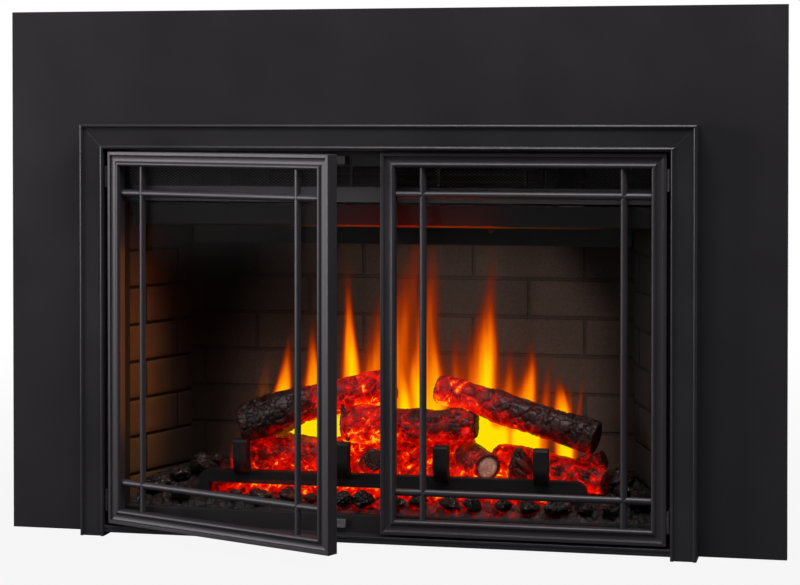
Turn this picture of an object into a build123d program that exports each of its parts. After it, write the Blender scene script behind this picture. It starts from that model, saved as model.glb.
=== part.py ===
"""Electric fireplace insert: flat surround, moulded trim, two glazed doors, log set.

Millimetres. X is the width, the front faces -Y, Z is up. The origin lies on the
underside of the casing, in the middle of the width, in the plane of the surround.
"""

import os
from math import sin

from build123d import *

os.makedirs("parts", exist_ok=True)

# ---------------------------------------------------------------- dimensions
SHEET = 1.5

PANEL_W, PANEL_H, PANEL_RETURN = 1219.0, 822.0, 14.0
PANEL_GAP_W, PANEL_GAP_H = 886.0, 607.0

CASE_W, CASE_H = 882.0, 605.0
CASE_FRONT, CASE_BACK = -12.0, 262.0
HALF_IN = CASE_W / 2 - SHEET

TRIM_IN, TRIM_TOP_IN = CASE_W / 2, CASE_H
TRIM_FACE, TRIM_DEPTH, TRIM_BEAD = 39.0, 45.5, 2.8

DOOR_IN, DOOR_OUT = 1.2, 435.0
DOOR_LOW, DOOR_TOP = 20.0, 601.5
DOOR_FRONT, DOOR_BACK = -39.4, -18.4
MEMBER = 23.0
DOOR_MID_X, DOOR_MID_Z = (DOOR_IN + DOOR_OUT) / 2, (DOOR_LOW + DOOR_TOP) / 2
GRID_R, GRID_BACK = 5.5, -27.6
GRID_DX, GRID_DZ = 152.5, 226.5
GLASS_T = 4.0

PIN_X, PIN_Y, PIN_R = 438.1, -38.5, 1.1
KNUCKLE_R, KNUCKLE_H, HINGE_H = 2.5, 10.4, 33.0
HINGE_LOW, HINGE_HIGH = 56.0, 562.0
LEFT_OPEN = 23.0

JAMB_IN = 416.0
HEADER_LOW, RAIL_TOP, RAIL_LOW, APRON_TOP = 579.5, 547.5, 524.5, 43.3
LINER_FRONT, LINER_BACK = (417.0, 8.0), (366.0, 168.0)
LINER_T, LINER_TOP = 12.0, 520.0
SCREEN_Y, SCREEN_T = 168.0, 3.0
BRICK_H, BRICK_L, JOINT = 60.9, 180.0, 5.0
SIDE_BRICK_H, SIDE_JOINT_Z = 59.4, 88.0
BACK_JOINT_Z = 153.8

WHEEL_Y, WHEEL_Z, WHEEL_R, WHEEL_L = 118.0, 564.5, 28.0, 460.0
ROTOR_Y, ROTOR_Z, ROTOR_R = 214.0, 96.0, 3.0

UPRIGHT_X = (-234.0, -72.0, 85.0, 240.0)
UPRIGHT_W, UPRIGHT_TOP = 21.8, 150.0
BAR_HALF, BAR_TOP, BAR_T = 308.0, 99.5, 20.0


def keep(name, part):
    """Label a piece and write it to its own STEP file."""
    part.label = name
    export_step(part, f"parts/{name}.step")


def slab(x0, x1, y0, y1, z0, z1):
    """A flat piece between the given limits."""
    with BuildPart() as piece:
        with BuildSketch(Plane.XY.offset(z0)):
            with Locations(((x0 + x1) / 2, (y0 + y1) / 2)):
                Rectangle(x1 - x0, y1 - y0)
        extrude(amount=z1 - z0)
    return piece.part


def moulding(section, origin, inward, run, length, mitres):
    """A straight length of a section, mitred by planes given as (point, normal)."""
    with BuildPart() as bar:
        with BuildSketch(Plane(origin=origin, x_dir=inward, z_dir=run)):
            add(section)
        extrude(amount=length)
        for point, normal in mitres:
            split(bisect_by=Plane(origin=point, z_dir=normal), keep=Keep.TOP)
    return bar.part


def folded(x0, x1, *runs):
    """Bent sheet: rectangles in the YZ plane, run together along X from x0 to x1."""
    with BuildPart() as piece:
        with BuildSketch(Plane.YZ.offset(x0)):
            for y0, y1, z0, z1 in runs:
                with Locations(((y0 + y1) / 2, (z0 + z1) / 2)):
                    Rectangle(y1 - y0, z1 - z0)
        extrude(amount=x1 - x0)
    return piece.part


# ---------------------------------------------------------------- surround
with BuildPart() as surround:
    with BuildSketch(Plane.XZ.offset(-SHEET)):
        with Locations((0, PANEL_H / 2)):
            Rectangle(PANEL_W, PANEL_H)
        with Locations((0, PANEL_GAP_H / 2)):
            Rectangle(PANEL_GAP_W, PANEL_GAP_H, mode=Mode.SUBTRACT)
    extrude(amount=SHEET)
    with BuildSketch(Plane.XZ.offset(-PANEL_RETURN)):
        with Locations((0, PANEL_H / 2)):
            Rectangle(PANEL_W, PANEL_H)
        with Locations((0, (PANEL_H - SHEET) / 2)):
            Rectangle(PANEL_W - 2 * SHEET, PANEL_H - SHEET, mode=Mode.SUBTRACT)
    extrude(amount=PANEL_RETURN)
    corners = surround.edges().filter_by(Axis.Y).group_by(Axis.Z)[-1]
    fillet(corners.sort_by(Axis.X)[0], 1.2)
keep("surround_panel", surround.part)

# ---------------------------------------------------------------- trim frame
b, f, d = TRIM_BEAD, TRIM_FACE, TRIM_DEPTH
with BuildSketch() as trim_section:
    with BuildLine():
        Line((0, 0), (0, d - b))
        ThreePointArc((0, d - b), (b, d), (2 * b, d - b))
        Polyline((2 * b, d - b), (2 * b, d - b - 0.8), (f - 2 * b, d - b - 0.8), (f - 2 * b, d - b))
        ThreePointArc((f - 2 * b, d - b), (f - b, d), (f, d - b))
        Polyline((f, d - b), (f, 0), (f - 2, 0), (f - 2, d - b - 3), (2, d - b - 3), (2, 0), (0, 0))
    make_face()

corner_l, corner_r = (-TRIM_IN, 0, TRIM_TOP_IN), (TRIM_IN, 0, TRIM_TOP_IN)
trim_left = moulding(trim_section.sketch, (-TRIM_IN, 0, 0), (-1, 0, 0), (0, 0, 1),
                     TRIM_TOP_IN + f, [(corner_l, (-1, 0, -1))])
trim_right = moulding(trim_section.sketch, (TRIM_IN, 0, TRIM_TOP_IN + f), (1, 0, 0), (0, 0, -1),
                      TRIM_TOP_IN + f, [(corner_r, (1, 0, -1))])
trim_top = moulding(trim_section.sketch, (-TRIM_IN - f, 0, TRIM_TOP_IN), (0, 0, 1), (1, 0, 0),
                    2 * (TRIM_IN + f), [(corner_l, (1, 0, 1)), (corner_r, (-1, 0, 1))])
keep("trim_left", trim_left)
keep("trim_right", trim_right)
keep("trim_top", trim_top)

bottom_bar = folded(-TRIM_IN, TRIM_IN, (-42, -40.5, 6, 16.5), (-40.5, -12, 15, 16.5),
                    (-40.5, -30, 6, 7.5), (-42.8, -42, 13.2, 16.5))
keep("trim_bottom_bar", bottom_bar)

# ---------------------------------------------------------------- casing
keep("casing_base", slab(-HALF_IN, HALF_IN, CASE_FRONT + SHEET, CASE_BACK, 0, SHEET))
keep("casing_top", slab(-HALF_IN, HALF_IN, CASE_FRONT, CASE_BACK, CASE_H - SHEET, CASE_H))

with BuildPart() as wall_right:
    with BuildSketch(Plane.YZ.offset(HALF_IN)):
        with Locations(((CASE_FRONT + CASE_BACK) / 2, CASE_H / 2)):
            Rectangle(CASE_BACK - CASE_FRONT, CASE_H)
        with GridLocations(0, 360, 1, 2):
            with Locations((20, 300)):
                Circle(2.75, mode=Mode.SUBTRACT)
        with Locations((235, 480)):
            with GridLocations(0, 14, 1, 6):
                Rectangle(34, 4, mode=Mode.SUBTRACT)
    extrude(amount=SHEET)
wall_left_blank = mirror(wall_right.part, about=Plane.YZ)
with BuildPart() as wall_left:
    add(wall_left_blank)
    with BuildSketch(Plane.YZ.offset(-HALF_IN - SHEET)):
        with Locations((222, 34)):
            Circle(9.05)
    extrude(amount=SHEET, mode=Mode.SUBTRACT)
keep("casing_right_wall", wall_right.part)
keep("casing_left_wall", wall_left.part)

with BuildPart() as case_back:
    with BuildSketch(Plane.XZ.offset(-CASE_BACK)):
        with Locations((0, CASE_H / 2)):
            Rectangle(2 * HALF_IN, CASE_H - 2 * SHEET)
        with Locations((0, 545)):
            with GridLocations(80, 16, 7, 3):
                Rectangle(64, 5, mode=Mode.SUBTRACT)
    extrude(amount=SHEET)
keep("casing_back", case_back.part)

# ---------------------------------------------------------------- face
face = CASE_FRONT
keep("face_header", folded(-HALF_IN, HALF_IN, (face, face + SHEET, HEADER_LOW, CASE_H - SHEET),
                           (face + SHEET, -2, HEADER_LOW, HEADER_LOW + SHEET)))
with BuildPart() as jamb_right:
    with BuildSketch(Plane.XY.offset(SHEET)):
        for x0, x1, y0, y1 in ((JAMB_IN, HALF_IN, face, face + SHEET),
                               (JAMB_IN, JAMB_IN + SHEET, face + SHEET, 8),
                               (JAMB_IN + SHEET, HALF_IN - 4, 8 - SHEET, 8)):
            with Locations(((x0 + x1) / 2, (y0 + y1) / 2)):
                Rectangle(x1 - x0, y1 - y0)
    extrude(amount=HEADER_LOW - SHEET)
keep("face_right_jamb", jamb_right.part)
keep("face_left_jamb", mirror(jamb_right.part, about=Plane.YZ))
keep("face_apron", folded(-JAMB_IN, JAMB_IN, (face, face + SHEET, 0, APRON_TOP),
                          (face + SHEET, 0, APRON_TOP - SHEET, APRON_TOP)))
keep("outlet_rail", folded(-JAMB_IN, JAMB_IN, (face, face + SHEET, RAIL_LOW, RAIL_TOP),
                           (face + SHEET, -2, RAIL_TOP - SHEET, RAIL_TOP),
                           (face + SHEET, 4, RAIL_LOW, RAIL_LOW + SHEET)))

# air outlet: expanded sheet, a staggered field of diamond openings
with BuildPart() as mesh:
    with BuildSketch(Plane.XZ.offset(8)):
        with Locations((0, (HEADER_LOW + RAIL_TOP) / 2)):
            Rectangle(2 * JAMB_IN, HEADER_LOW - RAIL_TOP)
        for z, count in ((RAIL_TOP + 10, 28), (RAIL_TOP + 22, 27)):
            with Locations((0, z)):
                with GridLocations(29, 1, count, 1):
                    Polygon((-12.5, 0), (0, -5.4), (12.5, 0), (0, 5.4), mode=Mode.SUBTRACT)
    extrude(amount=1)
keep("outlet_mesh", mesh.part)

# ---------------------------------------------------------------- liners and flame screen
(lx0, ly0), (lx1, ly1) = LINER_FRONT, LINER_BACK
with BuildPart() as liner_right:
    with BuildSketch(Plane.XY.offset(SHEET)):
        with BuildLine():
            Polyline((lx0, ly0), (lx0 + LINER_T, ly0), (lx1 + LINER_T, ly1), (lx1, ly1), close=True)
        make_face()
    extrude(amount=LINER_TOP - SHEET)
    run = Vector(lx1 - lx0, ly1 - ly0, 0)
    face_plane = Plane(origin=(lx0, ly0, 0), x_dir=run, z_dir=(-run.Y, run.X, 0))
    with BuildSketch(face_plane):
        for course in range(8):
            z = SIDE_JOINT_Z + SIDE_BRICK_H * course
            with Locations((run.length / 2, z)):
                Rectangle(run.length, JOINT)
            along = 0.76 if course % 2 else 0.26
            with Locations((run.length * along, z + SIDE_BRICK_H / 2)):
                Rectangle(JOINT, SIDE_BRICK_H)
    extrude(amount=-1.6, mode=Mode.SUBTRACT)
liner_left = mirror(liner_right.part, about=Plane.YZ)

with BuildPart() as screen:
    with BuildSketch(Plane.XZ.offset(-SCREEN_Y - SCREEN_T)):
        with Locations((0, (LINER_TOP + SHEET) / 2)):
            Rectangle(2 * lx1 + 20, LINER_TOP - SHEET)
    extrude(amount=SCREEN_T)
    with BuildSketch(Plane.XZ.offset(-SCREEN_Y)):
        for course in range(6):
            z = BACK_JOINT_Z + BRICK_H * (course - 1)
            with Locations((0, z)):
                Rectangle(2 * lx1, 2.2)
            shift = 17.3 if course % 2 else 107.3
            with Locations((shift, z + BRICK_H / 2)):
                with GridLocations(BRICK_L, 1, 4, 1):
                    Rectangle(2.2, BRICK_H)
    extrude(amount=-0.8, mode=Mode.SUBTRACT)

with BuildPart() as header_plate:
    with BuildSketch(Plane.XZ.offset(-SCREEN_Y)):
        with Locations((0, 476)):
            RectangleRounded(722, 52, 8)
    extrude(amount=2.5)

# ---------------------------------------------------------------- heat baffle under the outlet
cut_r = Plane(origin=(lx0, ly0, 0), z_dir=(-run.Y, run.X, 0))
cut_l = Plane(origin=(-lx0, ly0, 0), z_dir=(run.Y, run.X, 0))
with BuildPart() as baffle:
    with BuildSketch(Plane.YZ.offset(-lx0)):
        with BuildLine():
            Polyline((11, 520), (20, 488), (24, 485), (96, 499), (96, 514), (94.5, 514), (94.5, 500.2),
                     (24.3, 486.6), (21.2, 489), (12.9, 518.5), (30, 518.5), (30, 520), close=True)
        make_face()
    extrude(amount=2 * lx0)
    for x in (-258, -88, 88, 262):
        add(slab(x - 4.5, x + 4.5, 12, 13.5, 519, RAIL_LOW))
        add(slab(x - 4.5, x + 4.5, 2, 13.5, RAIL_LOW - 1.5, RAIL_LOW))
    for x in (-256, -157, 160, 340):
        add(slab(x - 4.5, x + 4.5, 30, 32, 479, 488.5))
    split(bisect_by=cut_r, keep=Keep.TOP)
    split(bisect_by=cut_l, keep=Keep.TOP)

# ---------------------------------------------------------------- heater duct, element, blower
def duct_profile(inset):
    """Nozzle that widens into the round blower housing, as a closed outline in YZ."""
    top, low = CASE_H - SHEET - inset, 526 + inset
    mid, r = (top + low) / 2, (top - low) / 2
    with BuildSketch() as outline:
        with BuildLine():
            Polyline((WHEEL_Y, top), (50, top), (-2, 582.5 - inset), (-2, 544.5 + inset),
                     (60, low), (WHEEL_Y, low))
            ThreePointArc((WHEEL_Y, low), (WHEEL_Y + r, mid), (WHEEL_Y, top))
        make_face()
    return outline.sketch


with BuildPart() as duct:
    with BuildSketch(Plane.YZ.offset(-250)):
        add(duct_profile(0))
    extrude(amount=500)
    with BuildSketch(Plane.YZ.offset(-248.5)):
        add(duct_profile(SHEET))
    extrude(amount=497, mode=Mode.SUBTRACT)
    with BuildSketch(Plane.YZ.offset(-250)):
        with Locations((WHEEL_Y, WHEEL_Z)):
            Circle(4.05)
    extrude(amount=SHEET, mode=Mode.SUBTRACT)
    with BuildSketch(Plane.YZ.offset(248)):
        with Locations((WHEEL_Y, WHEEL_Z)):
            RegularPolygon(9, 8)
    extrude(amount=2, mode=Mode.SUBTRACT)
    with BuildSketch(Plane.XY.offset(520)):
        with Locations((0, 132)):
            with GridLocations(110, 1, 4, 1):
                Rectangle(96, 34)
    extrude(amount=30, mode=Mode.SUBTRACT)
keep("heater_duct", duct.part)

with BuildPart() as element:
    with BuildSketch(Plane.YZ.offset(-210)):
        with Locations((67, WHEEL_Z + 0.25)):
            Rectangle(12, 74.5)
            Rectangle(12, 66, mode=Mode.SUBTRACT)
    extrude(amount=420)
    for x in (-210, -70, 70, 206):
        add(slab(x, x + 4, 61, 73, 530, 600))
    for z in (542, 557, 572, 587):
        with BuildSketch(Plane.YZ.offset(-208)):
            with Locations((67, z)):
                RegularPolygon(2.3, 6)
        extrude(amount=416)
keep("heater_element", element.part)

with BuildPart() as wheel:
    with BuildSketch(Plane.YZ.offset(-WHEEL_L / 2)) as blades:
        with Locations((WHEEL_Y, WHEEL_Z)):
            with PolarLocations(WHEEL_R - 4.5, 14):
                Polygon((-4.4, -1.6), (0, 0), (4.4, -1.6), (4.4, -0.6), (0, 1), (-4.4, -0.6),
                        align=None)
    extrude(amount=WHEEL_L)
    for x in (-WHEEL_L / 2, -1, WHEEL_L / 2 - 2):
        with BuildSketch(Plane.YZ.offset(x)):
            with Locations((WHEEL_Y, WHEEL_Z)):
                RegularPolygon(WHEEL_R + 1, 28)
        extrude(amount=2)
    for x0, x1 in ((-256, -WHEEL_L / 2), (WHEEL_L / 2, 262)):
        with BuildSketch(Plane.YZ.offset(x0)):
            with Locations((WHEEL_Y, WHEEL_Z)):
                Circle(4)
        extrude(amount=x1 - x0)
keep("blower_wheel", wheel.part)

with BuildPart() as blower_motor:
    with BuildSketch(Plane.YZ.offset(254)):
        with Locations((WHEEL_Y, WHEEL_Z)):
            Rectangle(58, 62)
    extrude(amount=24)
    chamfer(blower_motor.edges().filter_by(Axis.X), 7)
    with BuildSketch(Plane.YZ.offset(278)):
        with Locations((WHEEL_Y, WHEEL_Z)):
            RegularPolygon(22, 16)
    extrude(amount=16)
    chamfer(blower_motor.faces().sort_by(Axis.X)[-1].edges(), 4)
    with BuildSketch(Plane.YZ.offset(250)):
        with Locations((WHEEL_Y, WHEEL_Z)):
            with GridLocations(40, 40, 2, 2):
                RegularPolygon(4, 6)
    extrude(amount=4)
    with BuildSketch(Plane.YZ.offset(254)):
        with Locations((WHEEL_Y, WHEEL_Z)):
            Circle(4.05)
    extrude(amount=10, mode=Mode.SUBTRACT)
keep("blower_motor", blower_motor.part)

# ---------------------------------------------------------------- flame engine behind the screen
with BuildPart() as rotor:
    for x0, x1 in ((-318, -306), (304, 315)):
        with BuildSketch(Plane.YZ.offset(x0)):
            with Locations((ROTOR_Y, ROTOR_Z)):
                Circle(ROTOR_R)
        extrude(amount=x1 - x0)
    with BuildSketch(Plane.YZ.offset(-306)):
        with Locations((ROTOR_Y, ROTOR_Z)):
            RegularPolygon(ROTOR_R, 4)
    extrude(amount=610)
    for i in range(10):
        with Locations(Location((-279 + 62 * i, ROTOR_Y, ROTOR_Z), (50 * i, 0, 0))):
            Box(48, 32, 0.8)
keep("flame_rotor", rotor.part)

with BuildPart() as rotor_bearing:
    with BuildSketch(Plane.YZ.offset(-318)):
        with BuildLine():
            Polyline((ROTOR_Y - 9, ROTOR_Z), (ROTOR_Y - 18, SHEET), (ROTOR_Y + 18, SHEET),
                     (ROTOR_Y + 9, ROTOR_Z))
            ThreePointArc((ROTOR_Y + 9, ROTOR_Z), (ROTOR_Y, ROTOR_Z + 9), (ROTOR_Y - 9, ROTOR_Z))
        make_face()
        with Locations((ROTOR_Y, ROTOR_Z)):
            Circle(ROTOR_R + 0.05, mode=Mode.SUBTRACT)
    extrude(amount=8)
keep("rotor_bearing", rotor_bearing.part)

with BuildPart() as rotor_motor:
    with BuildSketch(Plane.YZ.offset(306)):
        with Locations((ROTOR_Y, (ROTOR_Z + SHEET) / 2)):
            Rectangle(30, ROTOR_Z - SHEET)
    extrude(amount=3)
    with BuildSketch(Plane.YZ.offset(306)):
        with Locations((ROTOR_Y, ROTOR_Z)):
            RegularPolygon(24, 20)
    extrude(amount=20)
    with BuildSketch(Plane.YZ.offset(306)):
        with Locations((ROTOR_Y, ROTOR_Z)):
            Circle(ROTOR_R + 0.05)
    extrude(amount=9, mode=Mode.SUBTRACT)
keep("rotor_motor", rotor_motor.part)

for name, y, half, count in (("flame_led_strip", 246, 300, 9), ("ember_led_strip", 72, 280, 8)):
    with BuildPart() as strip:
        add(slab(-half, half, y - 8, y + 8, SHEET, SHEET + 1.6))
        with Locations((0, y, SHEET + 2.4)):
            with GridLocations(2 * half / count, 1, count, 1):
                Box(6, 6, 1.8)
    keep(name, strip.part)

with BuildPart() as terminal_box:
    add(slab(-HALF_IN, -386, 190, 254, SHEET, 64))
    chamfer(terminal_box.edges().filter_by(Axis.Y).group_by(Axis.Z)[-1].sort_by(Axis.X)[-1], 4)
    for x, radius, sides, depth in ((HALF_IN, 9, 12, SHEET), (HALF_IN + SHEET, 12, 6, 5),
                                    (HALF_IN + SHEET + 5, 7.5, 12, 9)):
        with BuildSketch(Plane.YZ.offset(-x)):
            with Locations((222, 34)):
                RegularPolygon(radius, sides)
        extrude(amount=-depth)
    with BuildSketch(Plane.YZ.offset(-HALF_IN - SHEET - 14)):
        with Locations((222, 34)):
            Circle(4)
    extrude(amount=30, mode=Mode.SUBTRACT)
keep("terminal_box", terminal_box.part)

# ---------------------------------------------------------------- ember bed
with BuildPart() as bed:
    with BuildSketch(Plane.YZ.offset(-lx0)):
        with BuildLine():
            Polyline((0, SHEET), (0, 45), (10, 54), (24, 60), (46, 72), (70, 81), (120, 86),
                     (SCREEN_Y, 80), (SCREEN_Y, SHEET), close=True)
        make_face()
    extrude(amount=2 * lx0)
    add(slab(-300, 300, 22, 150, SHEET, 42), mode=Mode.SUBTRACT)
    split(bisect_by=cut_r, keep=Keep.TOP)
    split(bisect_by=cut_l, keep=Keep.TOP)
    add(jamb_right.part, mode=Mode.SUBTRACT)
    add(mirror(jamb_right.part, about=Plane.YZ), mode=Mode.SUBTRACT)
keep("ember_bed", bed.part)
keep("right_liner", liner_right.part)
keep("left_liner", liner_left)
keep("flame_screen", screen.part)
keep("screen_header_plate", header_plate.part)
keep("heat_baffle", baffle.part)

# ---------------------------------------------------------------- grate
with BuildPart() as bar:
    with BuildSketch(Plane.XZ.offset(-24)):
        with BuildLine():
            Polyline((-BAR_HALF, 46), (-BAR_HALF, BAR_TOP - 18))
            ThreePointArc((-BAR_HALF, BAR_TOP - 18), (-BAR_HALF + 5.3, BAR_TOP - 5.3),
                          (-BAR_HALF + 18, BAR_TOP))
            Line((-BAR_HALF + 18, BAR_TOP), (BAR_HALF - 18, BAR_TOP))
            ThreePointArc((BAR_HALF - 18, BAR_TOP), (BAR_HALF - 5.3, BAR_TOP - 5.3),
                          (BAR_HALF, BAR_TOP - 18))
            Polyline((BAR_HALF, BAR_TOP - 18), (BAR_HALF, 46), (BAR_HALF - 17, 46),
                     (BAR_HALF - 17, BAR_TOP - BAR_T), (-BAR_HALF + 17, BAR_TOP - BAR_T),
                     (-BAR_HALF + 17, 46), (-BAR_HALF, 46))
        make_face()
    extrude(amount=-18)
    add(bed.part, mode=Mode.SUBTRACT)
keep("grate_bar", bar.part)

with BuildPart() as uprights:
    for x in UPRIGHT_X:
        with BuildSketch(Plane.YZ.offset(x - UPRIGHT_W / 2)):
            with BuildLine():
                Polyline((24, 94), (18, 94))
                ThreePointArc((18, 94), (7, 106), (3, 124))
                Polyline((3, 124), (3, UPRIGHT_TOP - 3), (6, UPRIGHT_TOP), (26, UPRIGHT_TOP),
                         (26, 122))
                ThreePointArc((26, 122), (27.5, 110), (33, BAR_TOP))
                Polyline((33, BAR_TOP), (24, BAR_TOP), (24, 94))
            make_face()
        extrude(amount=UPRIGHT_W)
keep("grate_uprights", uprights.part)


# ---------------------------------------------------------------- logs
def log(stations, others):
    """A limb hewn flat between twelve-sided sections at (x, y, z, radius), seated on others."""
    along = Vector(*stations[-1][:3]) - Vector(*stations[0][:3])
    with BuildPart() as limb:
        for x, y, z, r in stations:
            with BuildSketch(Plane(origin=(x, y, z), x_dir=(0, 0, 1), z_dir=along)):
                RegularPolygon(r, 12)
        loft(ruled=True)
    hewn = Solid(Shell([Face(side.outer_wire()) for side in limb.faces()]))
    with BuildPart() as seated:
        add(hewn)
        for other in others:
            add(other, mode=Mode.SUBTRACT)
    return seated.part.solids().sort_by(SortBy.VOLUME)[-1]


ground = [bed.part, bar.part]
low_left = log([(-268, 66, 106, 22), (-225, 73, 108, 27), (-180, 80, 112, 26), (-130, 88, 113, 28),
                (-86, 96, 112, 24)], ground)
low_right = log([(150, 122, 116, 24), (196, 106, 113, 28), (240, 92, 108, 26), (292, 76, 101, 25),
                 (334, 62, 94, 20)], ground)
sawn = log([(106, 112, 124, 25), (128, 84, 116, 25), (151, 56, 112, 24)], ground + [low_right])
stub_left = log([(-54, 104, 100, 19), (-30, 56, 120, 18)], ground + [low_left])
stub_right = log([(285, 96, 112, 16), (329, 88, 126, 15)], ground + [low_right])
centre = log([(-80, 74, 170, 27), (-40, 78, 171, 30), (0, 80, 171, 27), (36, 77, 171, 29),
              (70, 74, 172, 26), (104, 75, 174, 29), (130, 76, 176, 26)],
             [bed.part, low_left, sawn, low_right, stub_left, uprights.part])
upper_left = log([(-243, 40, 176, 28), (-222, 48, 183, 31), (-190, 58, 192, 29), (-150, 73, 200, 30),
                  (-110, 88, 208, 27), (-60, 106, 219, 29), (-12, 124, 230, 25)],
                 [uprights.part, low_left, centre])
upper_right = log([(66, 92, 229, 22), (96, 86, 222, 25), (130, 80, 214, 24), (178, 73, 201, 26),
                   (225, 66, 188, 24), (272, 60, 176, 26), (312, 55, 165, 27), (320, 54, 163, 23)],
                  [uprights.part, low_right, centre])
with BuildPart() as sawn_ends:
    for end in (sawn, stub_left, stub_right):
        add(end)
keep("log_lower_left", low_left)
keep("log_lower_right", low_right)
keep("log_sawn_ends", sawn_ends.part)
keep("log_centre", centre)
keep("log_upper_left", upper_left)
keep("log_upper_right", upper_right)

# loose coals: chipped lumps along the front edge and in the two corners
lumps = [(-330 + 42.5 * i, 8 + 3 * sin(5.1 * i), 63 + 2 * sin(3.7 * i), 17 + 2 * sin(2.3 * i), 47 * i)
         for i in range(17) if i != 1]
lumps += [(-325, 84, 96, 22, 10), (-345, 52, 84, 20, 65), (-318, 120, 98, 20, 30), (-372, 30, 74, 20, 80),
          (352, 66, 96, 22, 20), (368, 40, 86, 22, 70), (384, 24, 76, 18, 35), (350, 100, 98, 18, 50)]


def lump(size):
    """One chipped coal, about as wide as size."""
    with BuildPart() as coal:
        Box(size * 1.25, size, size * 0.85)
        for chip in ((1, 1, 1), (-1, 0.7, 1), (0.5, -1, 0.9), (-0.9, -1, -0.3)):
            normal = Vector(*chip).normalized()
            split(bisect_by=Plane(origin=normal * size * 0.5, z_dir=normal), keep=Keep.BOTTOM)
    return coal.part


with BuildPart() as coals:
    for x, y, z, s, turn in lumps:
        with Locations(Location((x, y, z), (0.3 * turn, 0.2 * turn, turn))):
            add(lump(s))
    for other in (bed.part, bar.part, low_left, low_right, stub_right, uprights.part):
        add(other, mode=Mode.SUBTRACT)
keep("loose_coals", coals.part)

# ---------------------------------------------------------------- doors
with BuildSketch() as door_section:
    with BuildLine():
        Polyline((0, 0), (0, 20.2), (0.8, 21), (5.3, 21), (6.9, 18.2))
        ThreePointArc((6.9, 18.2), (11, 17.5), (15, 17.9))
        ThreePointArc((15, 17.9), (18.8, 20.4), (MEMBER, 16.2))
        Polyline((MEMBER, 16.2), (MEMBER, 5.8), (18, 5.8), (18, 0), (0, 0))
    make_face()


def member(corner, inward, run, length):
    """A door frame member with both ends mitred, outer edge starting at a corner."""
    start, step = Vector(*corner), Vector(*run)
    end = start + step * length
    return moulding(door_section.sketch, corner, inward, run, length,
                    [(start, step - Vector(*inward)), (end, -step - Vector(*inward))])


W, H = DOOR_OUT - DOOR_IN, DOOR_TOP - DOOR_LOW
door = {
    "hinge_stile": member((DOOR_OUT, DOOR_BACK, DOOR_LOW), (-1, 0, 0), (0, 0, 1), H),
    "free_stile": member((DOOR_IN, DOOR_BACK, DOOR_TOP), (1, 0, 0), (0, 0, -1), H),
    "top_rail": member((DOOR_OUT, DOOR_BACK, DOOR_TOP), (0, 0, -1), (-1, 0, 0), W),
    "bottom_rail": member((DOOR_IN, DOOR_BACK, DOOR_LOW), (0, 0, 1), (1, 0, 0), W),
    "glass": slab(DOOR_IN + 18.4, DOOR_OUT - 18.4, DOOR_BACK - 5.8, DOOR_BACK - 5.8 + GLASS_T,
                  DOOR_LOW + 18.4, DOOR_TOP - 18.4),
}

with BuildPart() as grid_uprights:
    with BuildSketch(Plane.XY.offset(DOOR_LOW + MEMBER)):
        with Locations((DOOR_MID_X - GRID_DX, GRID_BACK), (DOOR_MID_X + GRID_DX, GRID_BACK)):
            Circle(GRID_R)
        with Locations((DOOR_MID_X, GRID_BACK + GRID_R)):
            Rectangle(W, 2 * GRID_R, mode=Mode.SUBTRACT)
    extrude(amount=H - 2 * MEMBER)
with BuildPart() as grid_crossbars:
    with BuildSketch(Plane.YZ.offset(DOOR_IN + MEMBER)):
        with Locations((GRID_BACK, DOOR_MID_Z - GRID_DZ), (GRID_BACK, DOOR_MID_Z + GRID_DZ)):
            Circle(GRID_R)
        with Locations((GRID_BACK + GRID_R, DOOR_MID_Z)):
            Rectangle(2 * GRID_R, H, mode=Mode.SUBTRACT)
    extrude(amount=W - 2 * MEMBER)
    add(grid_uprights.part, mode=Mode.SUBTRACT)
door["grid_uprights"] = grid_uprights.part
door["grid_crossbars"] = grid_crossbars.part

with BuildPart() as hinge_leaves:
    for z in (HINGE_LOW, HINGE_HIGH):
        add(slab(DOOR_OUT, DOOR_OUT + 1.2, PIN_Y + 4.5, -20, z - 15.5, z + 15.5))
        add(slab(DOOR_OUT, DOOR_OUT + 1.2, PIN_Y, PIN_Y + 4.5, z - 5, z + 5))
        with BuildSketch(Plane.XY.offset(z - 5)):
            with Locations((PIN_X, PIN_Y)):
                RegularPolygon(KNUCKLE_R, 12)
        extrude(amount=10)
        with BuildSketch(Plane.XY.offset(z - 5)):
            with Locations((PIN_X, PIN_Y)):
                RegularPolygon(PIN_R + 0.05, 8, major_radius=False)
        extrude(amount=10, mode=Mode.SUBTRACT)
door["hinge_leaves"] = hinge_leaves.part

left_pin = Axis((-PIN_X, PIN_Y, 0), (0, 0, 1))
for name, piece in door.items():
    keep(f"right_door_{name}", piece)
    keep(f"left_door_{name}", mirror(piece, about=Plane.YZ).rotate(left_pin, -LEFT_OPEN))

# fixed half of each hinge: two knuckles, the pin, and a leaf folded onto the jamb
with BuildPart() as brackets:
    for z in (HINGE_LOW, HINGE_HIGH):
        half = HINGE_H / 2
        add(slab(PIN_X - 0.4, HALF_IN, PIN_Y + 3.7, face, z - half, z + half))
        add(slab(HALF_IN - 15.5, HALF_IN, face - SHEET, face, z - half, z + half))
        with BuildSketch(Plane.XY.offset(z - half)):
            with Locations((PIN_X, PIN_Y)):
                Circle(PIN_R)
        extrude(amount=HINGE_H)
        for z0 in (z - half, z + half - KNUCKLE_H - 0.8):
            with BuildSketch(Plane.XY.offset(z0)):
                with Locations((PIN_X, PIN_Y)):
                    RegularPolygon(KNUCKLE_R, 12)
                with Locations(((PIN_X - 0.4 + HALF_IN) / 2, PIN_Y + 2)):
                    Rectangle(HALF_IN - PIN_X + 0.4, 4)
            extrude(amount=KNUCKLE_H + 0.8)
with BuildPart() as hinge_brackets:
    add(brackets.part)
    add(mirror(brackets.part, about=Plane.YZ))
keep("hinge_brackets", hinge_brackets.part)

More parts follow.
